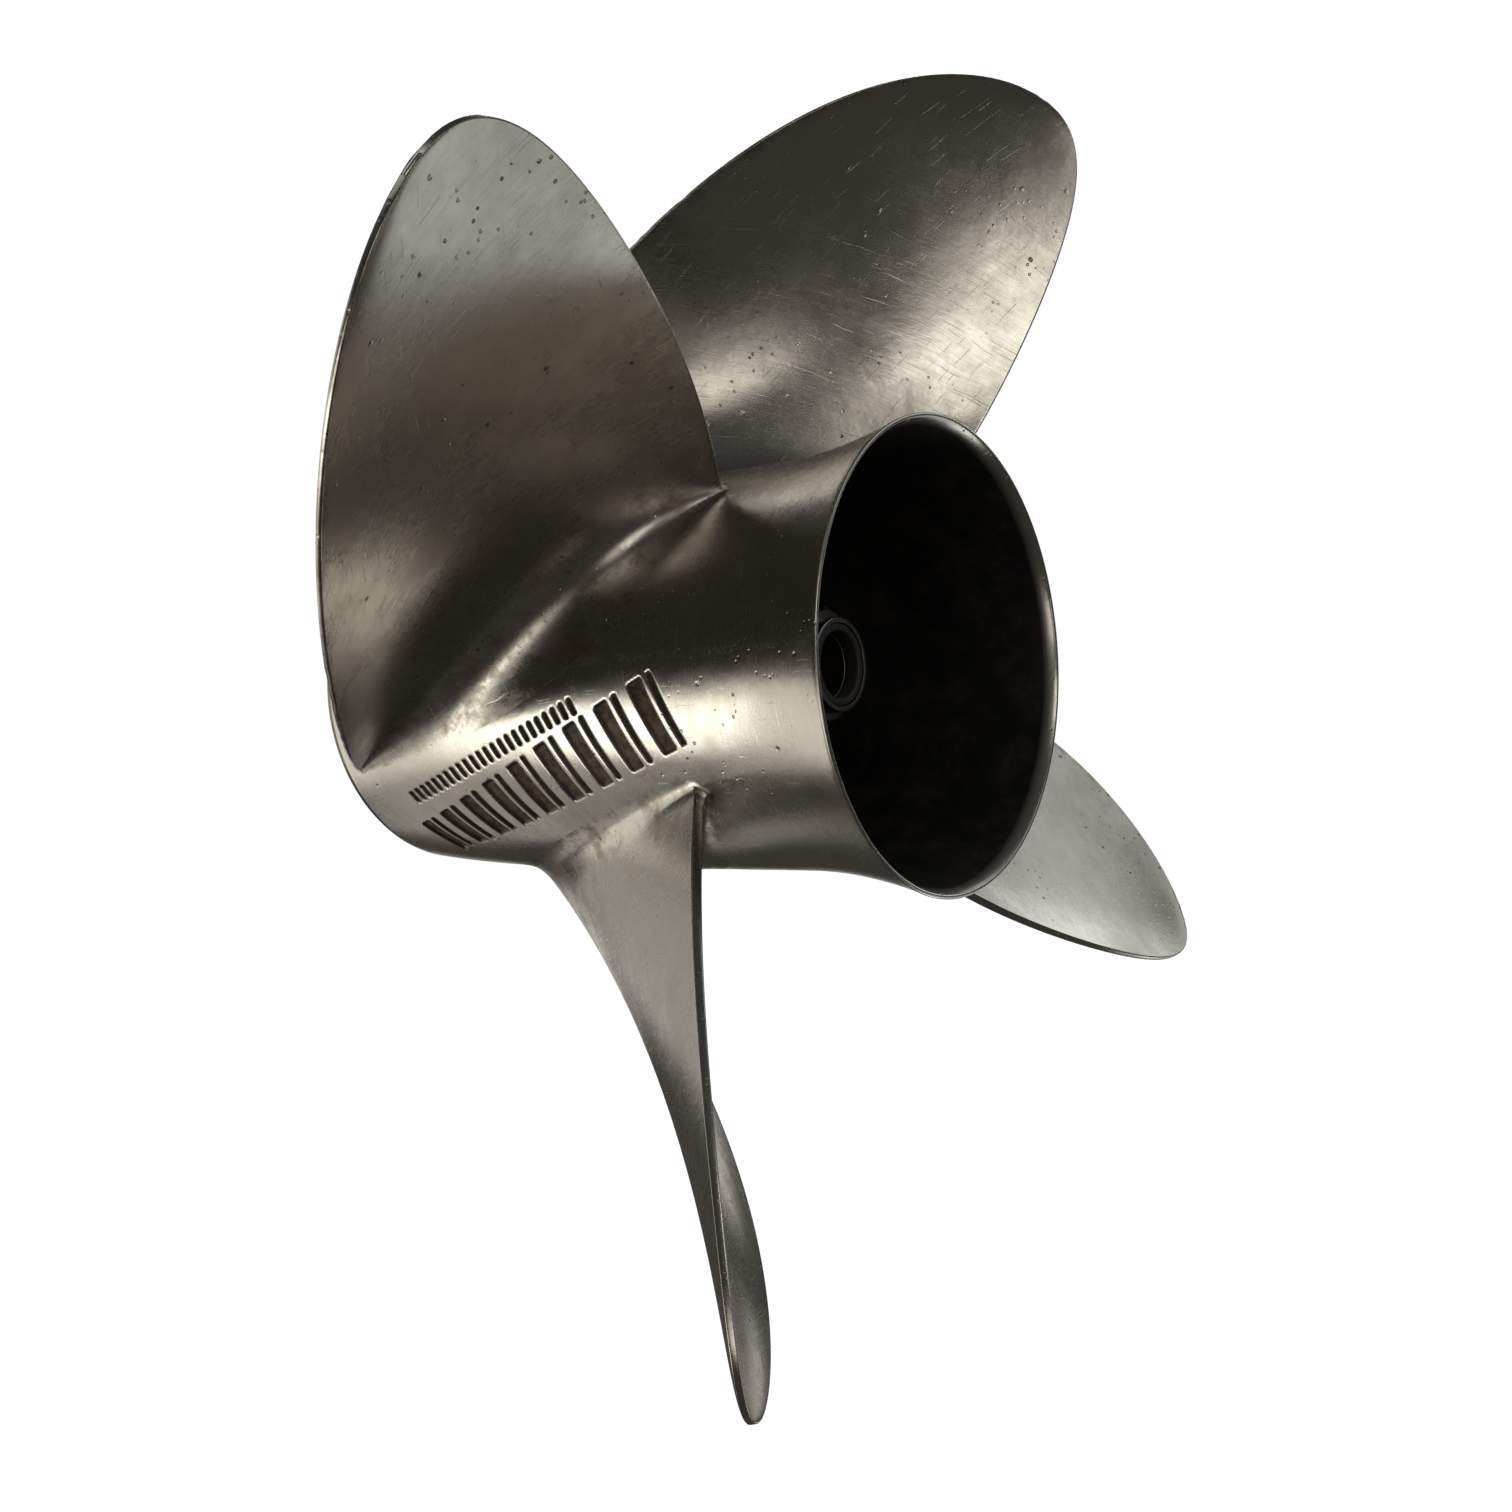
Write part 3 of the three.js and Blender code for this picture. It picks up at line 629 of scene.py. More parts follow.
class Mix:
    """A material under construction."""

    def __init__(self, name):
        self.material = bpy.data.materials.new(name)
        self.material.use_nodes = True
        self.tree = self.material.node_tree
        self.shader = self.tree.nodes["Principled BSDF"]
        self.place = self.node("ShaderNodeTexCoord").outputs["Object"]

    def node(self, kind, **values):
        made = self.tree.nodes.new(kind)
        for key, value in values.items():
            setattr(made, key, value)
        return made

    def put(self, socket, value):
        if isinstance(value, bpy.types.NodeSocket):
            self.tree.links.new(value, socket)
        else:
            socket.default_value = value

    def attribute(self, name, output="Fac"):
        return self.node("ShaderNodeAttribute", attribute_name=name).outputs[output]

    def math(self, operation, a, b=0.0, clamp=False):
        made = self.node("ShaderNodeMath", operation=operation, use_clamp=clamp)
        self.put(made.inputs[0], a)
        self.put(made.inputs[1], b)
        return made.outputs[0]

    def stretch(self, vector, scale):
        made = self.node("ShaderNodeMapping")
        self.put(made.inputs["Vector"], vector)
        made.inputs["Scale"].default_value = scale
        return made.outputs[0]

    def shift(self, vector, amount):
        made = self.node("ShaderNodeVectorMath", operation="ADD")
        self.put(made.inputs[0], vector)
        self.put(made.inputs[1], amount)
        return made.outputs[0]

    def noise(self, vector, scale, detail, rough):
        made = self.node("ShaderNodeTexNoise")
        self.put(made.inputs["Vector"], vector)
        made.inputs["Scale"].default_value = scale
        made.inputs["Detail"].default_value = detail
        made.inputs["Roughness"].default_value = rough
        return made.outputs["Fac"]

    def cells(self, vector, scale):
        made = self.node("ShaderNodeTexVoronoi")
        self.put(made.inputs["Vector"], vector)
        made.inputs["Scale"].default_value = scale
        return made.outputs["Distance"]

    def remap(self, value, low, high, to_low=0.0, to_high=1.0):
        made = self.node("ShaderNodeMapRange")
        self.put(made.inputs["Value"], value)
        limits = {"From Min": low, "From Max": high, "To Min": to_low, "To Max": to_high}
        for key, limit in limits.items():
            made.inputs[key].default_value = limit
        return made.outputs[0]

    def with_alpha(self, value):
        return value if isinstance(value, bpy.types.NodeSocket) else (*value, 1)

    def blend(self, factor, a, b):
        made = self.node("ShaderNodeMix", data_type="RGBA")
        self.put(made.inputs[0], factor)
        self.put(made.inputs[6], self.with_alpha(a))
        self.put(made.inputs[7], self.with_alpha(b))
        return made.outputs[2]

    def bump(self, height, distance, strength=1.0, normal=None):
        made = self.node("ShaderNodeBump")
        self.put(made.inputs["Height"], height)
        made.inputs["Distance"].default_value = distance
        made.inputs["Strength"].default_value = strength
        if normal is not None:
            self.put(made.inputs["Normal"], normal)
        return made.outputs[0]

    def finish(self, colour_value, roughness, metallic, normal=None):
        self.put(self.shader.inputs["Base Color"], self.with_alpha(colour_value))
        self.put(self.shader.inputs["Roughness"], roughness)
        self.put(self.shader.inputs["Metallic"], metallic)
        if normal is not None:
            self.put(self.shader.inputs["Normal"], normal)
        return self.material


def cast_steel(name, finish):
    """Hand-polished cast steel: cloudy polish, fine scratches, pits, brown stains and dull edges."""
    m = Mix(name)
    grain = m.attribute("grain", "Vector")
    cloud = m.noise(m.place, 24, 5, 0.6)
    fine_cloud = m.noise(m.place, 170, 4, 0.6)
    warp = m.noise(m.place, 45, 2, 0.5)
    bent = m.shift(grain, m.math("MULTIPLY", m.math("SUBTRACT", warp, 0.5), 0.004))
    scratch = m.noise(m.stretch(bent, (70, 2600, 70)), 1.0, 2, 0.6)
    deep_scratch = m.remap(m.noise(m.stretch(bent, (45, 2400, 45)), 1.0, 1, 0.5), 0.70, 0.76)
    cross = m.remap(m.noise(m.stretch(bent, (2600, 70, 70)), 1.0, 1, 0.5), 0.72, 0.77)
    two_clouds = m.math("ADD", m.math("MULTIPLY", cloud, 0.65), m.math("MULTIPLY", fine_cloud, 0.35))
    polish = m.remap(two_clouds, 0.36, 0.64)
    base = m.blend(m.math("MULTIPLY", polish, 0.4), finish.steel, finish.steel_dark)
    base = m.blend(m.math("MULTIPLY", m.remap(scratch, 0.4, 0.7), 0.06), base, finish.steel_dark)
    pit_field = m.remap(m.noise(m.place, 30, 4, 0.6), 0.46, 0.66)
    speck = m.math("MULTIPLY", m.remap(m.cells(m.place, 330), 0.17, 0.09), pit_field)
    spot = m.math("MULTIPLY", m.remap(m.cells(m.place, 130), 0.10, 0.05), m.remap(fine_cloud, 0.45, 0.6))
    pit = m.math("MAXIMUM", speck, spot)
    base = m.blend(m.math("MULTIPLY", pit, 0.7), base, (0.04, 0.034, 0.028))
    root = m.attribute("root")
    stain_shape = m.remap(m.noise(m.place, 110, 6, 0.7), 0.47, 0.66)
    thin_stain = m.math("MULTIPLY", m.remap(m.noise(m.place, 16, 4, 0.6), 0.52, 0.7), 0.16)
    stain = m.math("ADD", m.math("MULTIPLY", m.math("MULTIPLY", stain_shape, root), 0.6), thin_stain, True)
    base = m.blend(stain, base, finish.stain)
    lead = m.attribute("lead")
    ragged = m.math("MULTIPLY", lead, m.remap(m.noise(m.place, 180, 3, 0.6), 0.4, 0.62))
    base = m.blend(m.math("MULTIPLY", ragged, 0.5), base, (0.12, 0.11, 0.095))
    recess = m.attribute("recess")
    # Painted shade: a dark line where the recess mask passes from 0 to 1, along the engraving's walls
    wall = m.math("MULTIPLY", m.math("MULTIPLY", recess, m.math("SUBTRACT", 1.0, recess)), 3.2, True)
    fill_grain = m.remap(m.noise(m.place, 420, 4, 0.65), 0.38, 0.62)
    fill = m.blend(fill_grain, (0.075, 0.05, 0.03), (0.22, 0.165, 0.105))
    base = m.blend(recess, base, fill)
    # The engraving's walls get a near-black painted shade
    base = m.blend(wall, base, (0.025, 0.018, 0.012))
    # Inside the barrel the colour goes nearly black and dull: partly soot, partly painted shade of the tube's
    # inside
    soot_and_shade = m.attribute("soot_and_shade")
    mottle = m.remap(m.noise(m.place, 110, 6, 0.7), 0.45, 0.7)
    deposit = m.blend(mottle, finish.soot_and_shade, (0.05, 0.038, 0.027))
    base = m.blend(soot_and_shade, base, deposit)
    rough = m.remap(polish, 0, 1, 0.19, 0.30)
    rough = m.math("ADD", rough, m.math("MULTIPLY", m.remap(scratch, 0.4, 0.7), 0.035))
    rough = m.math("ADD", rough, m.math("MULTIPLY", stain, 0.3))
    rough = m.math("ADD", rough, m.math("MULTIPLY", recess, 0.4))
    rough = m.math("ADD", rough, m.math("MULTIPLY", soot_and_shade, 0.3), True)
    groove = m.math("MULTIPLY", m.math("MAXIMUM", deep_scratch, cross), -0.2)
    relief = m.math("ADD", m.math("MULTIPLY", scratch, 0.13), groove)
    relief = m.math("SUBTRACT", relief, m.math("MULTIPLY", pit, 2.0))
    normal = m.bump(relief, 0.00009, 0.7, m.bump(cloud, 0.0008, 0.3))
    metal = m.math("SUBTRACT", 1.0, m.math("MULTIPLY", m.math("MAXIMUM", soot_and_shade, recess), 0.8), True)
    return m.finish(base, rough, metal, normal)


def turned_metal(name, tint, dull):
    """Machined metal: fine turning rings about the shaft, uneven tarnish and a few pits."""
    m = Mix(name)
    rings = m.noise(m.stretch(m.place, (2600, 60, 60)), 1.0, 3, 0.6)
    cloud = m.noise(m.place, 70, 5, 0.6)
    pit = m.remap(m.cells(m.place, 500), 0.14, 0.07)
    base = m.blend(m.remap(cloud, 0.4, 0.7), tint, dull)
    base = m.blend(m.math("MULTIPLY", pit, 0.35), base, (0.05, 0.045, 0.04))
    rough = m.math("ADD", m.remap(cloud, 0.35, 0.7, 0.22, 0.42), m.math("MULTIPLY", rings, 0.1))
    return m.finish(base, rough, 1.0, m.bump(m.math("SUBTRACT", rings, pit), 0.00005, 0.5))


def moulded(name, tint, worn):
    """Moulded plastic: a fine leathery grain, rubbed paler in patches."""
    m = Mix(name)
    grain = m.noise(m.place, 900, 4, 0.6)
    patches = m.remap(m.noise(m.place, 60, 4, 0.6), 0.5, 0.75)
    base = m.blend(m.math("MULTIPLY", patches, 0.6), tint, worn)
    rough = m.remap(grain, 0.3, 0.7, 0.42, 0.62)
    return m.finish(base, rough, 0.0, m.bump(grain, 0.00008, 0.5))


# ---- Placing a piece ----


def settle(made, material, body, slot, *nodes):
    """Gives a piece its material and its body, and takes the place of the frame's nodes. Its slot is not
    used.
    """
    made.data.materials.clear()
    made.data.materials.append(material)
    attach(made, body)
    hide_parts(*nodes)
    return made


def finish_for(name, maker):
    """The finish of that name, made when first asked for. Its name differs from the frame's own materials."""
    return bpy.data.materials.get(name) or maker(name)


def steel_finish(settings):
    return finish_for("worn_cast_steel", lambda name: cast_steel(name, settings.finish))


def turned_steel_finish():
    tint, dull = (0.36, 0.35, 0.33), (0.16, 0.15, 0.135)
    return finish_for("turned_dull_steel", lambda name: turned_metal(name, tint, dull))


DIAGONALS = (45, 135, 225, 315)
QUARTERS = (0, 90, 180, 270)

HUB_FRONT = -56
HUB_SQUARE, HUB_SQUARE_CORNER = 19, 7
SLEEVE_GAP = 0.3
ADAPTER_RADIUS = 16
LUG_HEIGHT, LUG_FOOT = 4.47, 0.03
THRUST_RADIUS = 30
WASHER_BORE = 9.925
NUT_BORE = 8.9
FLANGE_AFT, NUT_AFT, COLLAR_AFT = 60, 72, 76


def mm_corners(*corners):
    """Corners (x, radius, rounding) of a closed profile, from millimetres to metres."""
    return [[np.asarray(v) * MM for v in corner] for corner in corners]


def build_inner_hub():
    """A round boss with a squared bore, a counterbore in front and a lip behind."""
    count = 256
    aft, outer = 50, 31
    counterbore, counterbore_end = 24.1, -48
    lip_bore, lip_front = 18, 44
    square = square_radius(ring_turns(count), HUB_SQUARE, HUB_SQUARE_CORNER)
    corners = mm_corners(
        (HUB_FRONT, outer, 0.9),
        (aft, outer, 1.2),
        (aft, lip_bore, 0.5),
        (lip_front, lip_bore, 0.4),
        (lip_front, square, 0.3),
        (counterbore_end, square, 0.4),
        (counterbore_end, counterbore, 0.3),
        (HUB_FRONT, counterbore, 0.6),
    )
    return turned_piece("inner_hub_casting", corners, count)


def build_rib(settings, number_in_turn):
    """A rib from the inner hub to the barrel: rounded-rectangle loops stacked along the radius.

    A fillet of radius r swells it at both ends, by r - sqrt(r^2 - (r - d)^2) at distance d from the end."""
    low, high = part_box("inner_hub")
    front, aft = low.x + 6 * MM, high.x - 10 * MM
    half, fillet, sink = 2.5 * MM, 4.5 * MM, 0.4 * MM
    share = 0.5 - 0.5 * np.cos(math.pi * np.linspace(0, 1, 41)[:, None])
    turns = ring_turns(120)[None, :]
    bulge = np.sign(np.cos(turns)) * np.abs(np.cos(turns)) ** 0.12
    wide = np.sign(np.sin(turns)) * np.abs(np.sin(turns)) ** 0.5
    bottom = high.z - sink
    x = (front + aft) / 2 + (aft - front) / 2 * bulge
    top = barrel_bore(x, settings.barrel) + sink
    radius = bottom + (top - bottom) * share
    end = np.minimum(radius - bottom, top - radius)
    swell = fillet - np.sqrt(np.maximum(0, fillet**2 - np.maximum(0, fillet - end) ** 2))
    x = x + bulge * swell * 0.6
    across = wide * (half + swell)
    turn = math.radians(45) + FULL_TURN * number_in_turn / 4
    y = radius * math.cos(turn) - across * math.sin(turn)
    z = radius * math.sin(turn) + across * math.cos(turn)
    points = np.stack([np.broadcast_to(x, y.shape), y, z], -1)
    return stacked_loops(f"hub_rib_{number_in_turn + 1}_web", points)


def build_drive_sleeve():
    """A square sleeve with rounded corners and a round bore, notched at the corners in front for the lugs."""
    count = 720
    turns = ring_turns(count)
    front, notch_end, aft = -47.7, -40.4, 43.7
    bore = ADAPTER_RADIUS + SLEEVE_GAP
    outside = square_radius(turns, HUB_SQUARE - SLEEVE_GAP, HUB_SQUARE_CORNER - SLEEVE_GAP)
    notch = bore + LUG_FOOT + LUG_HEIGHT * window(turns, DIAGONALS, 17)
    corners = mm_corners(
        (front, outside, 0.6),
        (aft, outside, 0.6),
        (aft, bore, 0.5),
        (notch_end, bore, 0.2),
        (notch_end, notch, 0.2),
        (front, notch, 0.4),
    )
    return turned_piece("drive_sleeve_moulding", corners, count)


def build_adapter():
    """A tube with a front flange, four lugs behind it and a bore of fifteen splines."""
    count = 720
    turns = ring_turns(count)
    flange, flange_aft, lug_aft, aft = 22, -49.5, -40.7, 50.6
    splines, tooth_top, tooth_height = 15, 11.6, 1.4
    pitch = 360 / splines
    lug = ADAPTER_RADIUS + LUG_FOOT + LUG_HEIGHT * window(turns, DIAGONALS, 11)
    grooves = pitch * (np.arange(splines) + 0.25)
    spline = tooth_top + tooth_height * window(turns, grooves, pitch / 4, 2.4)
    corners = mm_corners(
        (HUB_FRONT, flange, 0.7),
        (flange_aft, flange, 0.6),
        (flange_aft, lug, 0.2),
        (lug_aft, lug, 0.4),
        (lug_aft, ADAPTER_RADIUS, 0.01),
        (aft, ADAPTER_RADIUS, 0.8),
        (aft, spline, 0.5),
        (HUB_FRONT, spline, 0.5),
    )
    return turned_piece("splined_adapter_turning", corners, count)


def build_thrust_hub():
    """A ring with a chamfered rim and a tapered seat for the shaft's cone."""
    front, aft, chamfer = -70, HUB_FRONT - SLEEVE_GAP, 2
    wide_seat, narrow_seat = 16, 13.3
    corners = mm_corners(
        (front, wide_seat, 0.5),
        (front, THRUST_RADIUS - chamfer, 0.4),
        (front + chamfer, THRUST_RADIUS, 0.5),
        (aft, THRUST_RADIUS, 0.7),
        (aft, narrow_seat, 0.4),
    )
    return turned_piece("thrust_hub_turning", corners)


def build_rear_washer():
    """A thick washer with four slots in its rim, open to the rear."""
    count = 480
    front, slot_floor, aft, rim = 50.9, 51.9, 54.9, 26
    slot = rim - 0.03 - 3.77 * window(ring_turns(count), QUARTERS, 10.9, 0.75)
    corners = mm_corners(
        (front, WASHER_BORE, 0.4),
        (front, rim, 0.5),
        (slot_floor, rim, 0.1),
        (slot_floor, slot, 0.1),
        (aft, slot, 0.4),
        (aft, WASHER_BORE, 0.4),
    )
    return turned_piece("rear_thrust_washer_turning", corners, count)


def build_tab_washer():
    """A thin washer with four tabs bent forward at its rim."""
    count = 480
    front, aft, disc = 55.2, 56.7, 22.5
    tab = window(ring_turns(count), QUARTERS, 9.6, 0.75)
    tab_front = front - 0.05 - 2.95 * tab
    tab_rim = 23.7 + 0.3 * tab
    corners = mm_corners(
        (front, WASHER_BORE, 0.2),
        (front, disc, 0.1),
        (tab_front, disc, 0.2),
        (tab_front, tab_rim, 0.3),
        (aft, tab_rim, 0.5),
        (aft, WASHER_BORE, 0.3),
    )
    return turned_piece("tab_washer_pressing", corners, count)


def build_nut():
    """A flanged hexagon nut whose rear corners are cut by a cone, with a collar for the locking ring."""
    count = 360
    front, flange, cone_front, cone_radius = 57, 18, 70.9, 14.9
    collar, recess, recess_front = 13, 11.4, 71.2
    hexagon = hexagon_radius(ring_turns(count), 28.6)
    coned = np.minimum(hexagon, cone_radius)
    corners = mm_corners(
        (front, NUT_BORE, 0.4),
        (front, flange, 0.4),
        (FLANGE_AFT - 1, flange, 0.5),
        (FLANGE_AFT, flange - 1, 0.2),
        (FLANGE_AFT, hexagon, 0.3),
        (cone_front, hexagon, 0.3),
        (NUT_AFT, coned, 0.2),
        (NUT_AFT, collar, 0.3),
        (COLLAR_AFT, collar, 0.8),
        (COLLAR_AFT, recess, 0.3),
        (recess_front, recess, 0.2),
        (recess_front, NUT_BORE, 0.3),
    )
    return turned_piece("prop_nut_turning", corners, count)


def build_nut_insert():
    """The locking ring in the nut's collar."""
    front, aft, inner, outer = 71.5, COLLAR_AFT - SLEEVE_GAP, 9.1, 11.1
    corners = mm_corners((front, inner, 0.4), (front, outer, 0.3), (aft, outer, 0.3), (aft, inner, 1.4))
    return turned_piece("nut_insert_ring", corners)


# ---- Operators ----


class PROPELLER_OT_barrel(bpy.types.Operator):
    """Builds the barrel with its engraved band."""

    bl_idname = "propeller.barrel"
    bl_label = "Barrel"

    def execute(self, context):
        settings = context.scene.propeller
        settle(build_barrel(settings), steel_finish(settings), "propeller", "cast_steel", "barrel")
        return {"FINISHED"}


class PROPELLER_OT_blades(bpy.types.Operator):
    """Builds the four blades with their root fillets."""

    bl_idname = "propeller.blades"
    bl_label = "Blades"

    def execute(self, context):
        settings = context.scene.propeller
        for i in range(4):
            made = build_blade(settings, i)
            settle(made, steel_finish(settings), "propeller", "cast_steel", f"blade_{i + 1}")
        return {"FINISHED"}


class PROPELLER_OT_hub(bpy.types.Operator):
    """Builds the inner hub and its four ribs."""

    bl_idname = "propeller.hub"
    bl_label = "Inner hub"

    def execute(self, context):
        settings = context.scene.propeller
        steel = steel_finish(settings)
        settle(build_inner_hub(), steel, "propeller", "cast_steel", "inner_hub")
        for i in range(4):
            settle(build_rib(settings, i), steel, "propeller", "cast_steel", f"hub_rib_{i + 1}")
        return {"FINISHED"}


class PROPELLER_OT_kit(bpy.types.Operator):
    """Builds the drive sleeve, the adapter, the thrust hub, the washers and the nut."""

    bl_idname = "propeller.kit"
    bl_label = "Hub kit"

    def execute(self, context):
        finish = context.scene.propeller.finish
        steel = turned_steel_finish()
        tarnish = [v * 0.55 for v in finish.brass]
        rubbed = (0.08, 0.08, 0.082)
        pale = [v * 1.5 for v in finish.nylon]
        brass = finish_for("turned_brass", lambda name: turned_metal(name, finish.brass, tarnish))
        composite = finish_for("moulded_composite", lambda name: moulded(name, finish.composite, rubbed))
        nylon = finish_for("moulded_nylon", lambda name: moulded(name, finish.nylon, pale))
        settle(build_drive_sleeve(), composite, "propeller", "composite", "drive_sleeve")
        settle(build_adapter(), brass, "shaft_side", "brass", "splined_adapter")
        settle(build_thrust_hub(), steel, "shaft_side", "turned_steel", "thrust_hub")
        settle(build_rear_washer(), steel, "shaft_side", "turned_steel", "rear_thrust_washer")
        settle(build_tab_washer(), steel, "washer", "turned_steel", "tab_washer")
        settle(build_nut(), steel, "nut", "turned_steel", "prop_nut")
        settle(build_nut_insert(), nylon, "nut", "nylon", "nut_insert")
        return {"FINISHED"}


class PROPELLER_OT_studio(bpy.types.Operator):
    """Sets the camera, the floor and the lights."""

    bl_idname = "propeller.studio"
    bl_label = "Studio"

    def execute(self, context):
        settings = context.scene.propeller.studio
        build_camera(context, settings)
        context.scene.view_settings.view_transform = "Standard"
        build_floor(context.scene.propeller.blade)
        build_lights()
        return {"FINISHED"}


# ---- Studio ----


def build_camera(context, s):
    """A camera on a sphere round a point of the shaft, then panned and tilted where it stands."""
    a, e = s.azimuth, s.elevation
    back = Vector((math.sin(a) * math.cos(e), -math.cos(a) * math.cos(e), math.sin(e)))
    right = Vector((math.cos(a), math.sin(a), 0))
    up = back.cross(right)
    ahead = -back * math.cos(s.pan) + right * math.sin(s.pan)
    right = right * math.cos(s.pan) + back * math.sin(s.pan)
    look = ahead * math.cos(s.tilt) + up * math.sin(s.tilt)
    up = up * math.cos(s.tilt) - ahead * math.sin(s.tilt)
    camera = bpy.data.objects.new("camera", bpy.data.cameras.new("camera"))
    turn = Matrix((right, up, -look)).transposed().to_4x4()
    camera.matrix_world = Matrix.Translation(Vector((s.centre, 0, 0)) + back * s.distance) @ turn
    camera.data.lens = s.lens
    camera.data.sensor_width = 36
    camera.data.clip_start = 0.01
    context.scene.collection.objects.link(camera)
    context.scene.camera = camera


def build_floor(blade):
    """A wide disc just under the lowest place that a turning blade tip reaches."""
    level = -blade.tip_radius - 5 * MM
    turns = ring_turns(96)
    radii = np.array([0.02, 0.5, 1.5, 6.0])
    points = [[0, 0, level]]
    rim = np.stack(
        [
            radii[:, None] * np.cos(turns),
            radii[:, None] * np.sin(turns),
            np.full((len(radii), len(turns)), level),
        ],
        -1,
    ).reshape(-1, 3)
    index = np.arange(len(radii) * len(turns)).reshape(len(radii), len(turns)) + 1
    nxt = np.roll(index, -1, 1)
    quads = np.stack([index[:-1], nxt[:-1], nxt[1:], index[1:]], -1).reshape(-1, 4)
    fan = np.stack([np.zeros(len(turns), int), index[0], nxt[0]], 1)
    mesh = bpy.data.meshes.new("floor")
    mesh.from_pydata(np.vstack([points, rim]).tolist(), [], quads.tolist() + fan.tolist())
    floor = bpy.data.objects.new("floor", mesh)
    bpy.context.scene.collection.objects.link(floor)
    m = Mix("floor_sheet")
    m.put(m.shader.inputs["Emission Color"], (1, 1, 1, 1))
    m.put(m.shader.inputs["Emission Strength"], 1.0)
    floor.data.materials.append(m.finish((0.12, 0.12, 0.12), 0.9, 0.0))
    floor.visible_glossy = False
    floor.visible_diffuse = False


def softbox(name, azimuth, elevation, half_width, half_height, radiance, tint=(1.0, 0.96, 0.87)):
    """A rectangular light seen from the middle in a direction and under half angles, all in degrees.

    Its power is radiance x pi x area, so its brightness doesn't depend on its distance."""
    distance = 1.6
    a, e = math.radians(azimuth), math.radians(elevation)
    place = Vector((math.sin(a) * math.cos(e), -math.cos(a) * math.cos(e), math.sin(e))) * distance
    light = bpy.data.lights.new(name, "AREA")
    light.shape = "RECTANGLE"
    light.size = 2 * distance * math.tan(math.radians(half_width))
    light.size_y = 2 * distance * math.tan(math.radians(half_height))
    light.energy = radiance * math.pi * light.size * light.size_y
    light.color = tint
    made = bpy.data.objects.new(name, light)
    made.location = place
    made.rotation_euler = (-place).to_track_quat("-Z", "Y").to_euler()
    made.visible_camera = False
    bpy.context.scene.collection.objects.link(made)


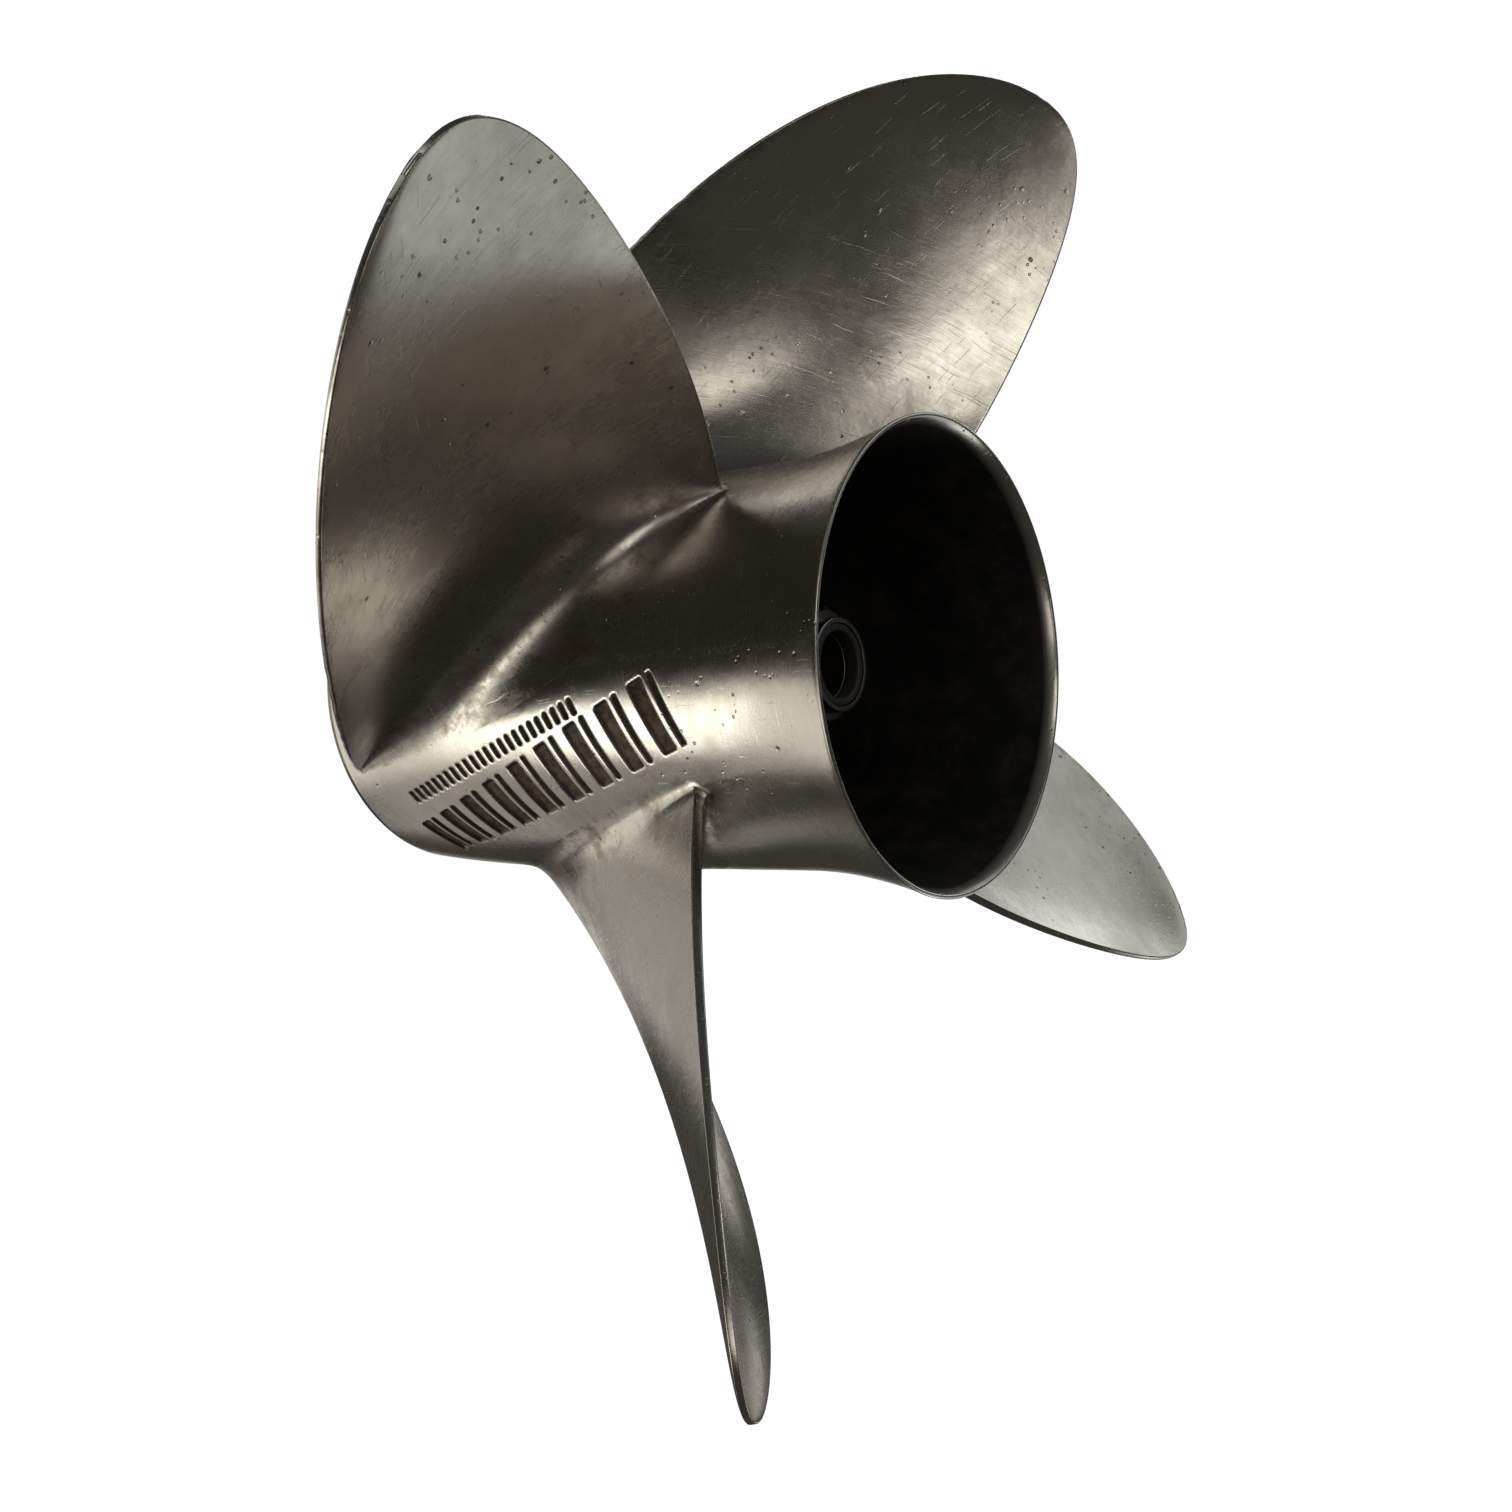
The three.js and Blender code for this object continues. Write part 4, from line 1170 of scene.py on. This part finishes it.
def build_lights():
    """Softboxes round the object, and a room that is white to the eye and dim to reflections."""
    cool = (0.97, 1.0, 0.99)
    softbox("left_low", -66, -8, 24, 24, 1.05)
    softbox("left_floor", -84, -42, 22, 9, 0.45)
    softbox("front_low", -30, -27, 19, 12, 2.8)
    softbox("front_high", -16, 42, 14, 12, 0.8, cool)
    softbox("right_front", 64, 15, 10, 8, 2.3)
    softbox("right_low", 41, -15, 12, 8, 2.0)
    softbox("right_high", 132, 40, 34, 12, 0.62, cool)
    softbox("back", 176, 17, 18, 10, 1.3, cool)
    softbox("back_low", 162, -22, 17, 15, 0.62, cool)
    softbox("back_floor", 161, -42, 9, 5, 2.4, cool)
    softbox("back_warm", -172, -20, 6, 5, 0.7)
    softbox("back_left", -108, -2, 13, 11, 0.42)
    softbox("back_left_low", -140, -9, 22, 5, 0.8)
    softbox("left_high", -134, 42, 22, 14, 2.5)
    world = bpy.data.worlds.new("room")
    world.use_nodes = True
    bpy.context.scene.world = world
    nodes, links = world.node_tree.nodes, world.node_tree.links
    white = nodes["Background"]
    white.inputs["Color"].default_value = (1, 1, 1, 1)
    shade = nodes.new("ShaderNodeBackground")
    place = nodes.new("ShaderNodeTexCoord")
    split = nodes.new("ShaderNodeSeparateXYZ")
    links.new(place.outputs["Generated"], split.inputs[0])
    level = nodes.new("ShaderNodeMapRange")
    level.inputs["From Min"].default_value = -1
    links.new(split.outputs["Z"], level.inputs["Value"])
    ramp = nodes.new("ShaderNodeValToRGB")
    links.new(level.outputs[0], ramp.inputs[0])
    stops = ramp.color_ramp.elements
    stops[0].position, stops[0].color = 0.0, (0.06, 0.055, 0.05, 1)
    stops[1].position, stops[1].color = 1.0, (0.045, 0.045, 0.045, 1)
    between = {0.30: (0.06, 0.054, 0.048), 0.46: (0.05, 0.047, 0.042), 0.62: (0.048, 0.048, 0.046)}
    for position, tint in between.items():
        stops.new(position).color = (*tint, 1)
    links.new(ramp.outputs[0], shade.inputs["Color"])
    path = nodes.new("ShaderNodeLightPath")
    either = nodes.new("ShaderNodeMixShader")
    links.new(path.outputs["Is Camera Ray"], either.inputs[0])
    links.new(shade.outputs[0], either.inputs[1])
    links.new(white.outputs[0], either.inputs[2])
    links.new(either.outputs[0], nodes["World Output"].inputs[0])


# ---- Add-on ----


class PropellerSettings(bpy.types.PropertyGroup):
    """All settings of the propeller."""

    barrel: bpy.props.PointerProperty(type=BarrelSettings, name="Barrel", description="Barrel sizes")
    blade: bpy.props.PointerProperty(type=BladeSettings, name="Blades", description="Blade sizes")
    band: bpy.props.PointerProperty(type=BandSettings, name="Band", description="Engraved band")
    finish: bpy.props.PointerProperty(type=FinishSettings, name="Finishes", description="Finish colours")
    studio: bpy.props.PointerProperty(type=StudioSettings, name="Studio", description="Camera")


OPERATORS = (
    PROPELLER_OT_barrel,
    PROPELLER_OT_blades,
    PROPELLER_OT_hub,
    PROPELLER_OT_kit,
    PROPELLER_OT_studio,
)


class PROPELLER_PT_panel(bpy.types.Panel):
    """Lists the operators in the sidebar."""

    bl_label = "Propeller"
    bl_idname = "PROPELLER_PT_panel"
    bl_space_type = "VIEW_3D"
    bl_region_type = "UI"
    bl_category = "Propeller"

    def draw(self, context):
        for operator in OPERATORS:
            self.layout.operator(operator.bl_idname)


GROUPS = (BarrelSettings, BladeSettings, BandSettings, FinishSettings, StudioSettings, PropellerSettings)
CLASSES = (*GROUPS, *OPERATORS, PROPELLER_PT_panel)


def register():
    for cls in CLASSES:
        bpy.utils.register_class(cls)
    bpy.types.Scene.propeller = bpy.props.PointerProperty(type=PropellerSettings)


def unregister():
    del bpy.types.Scene.propeller
    for cls in reversed(CLASSES):
        bpy.utils.unregister_class(cls)


def main():
    register()
    for operator in OPERATORS:
        group, name = operator.bl_idname.split(".")
        getattr(getattr(bpy.ops, group), name)()


if __name__ == "__main__":
    main()
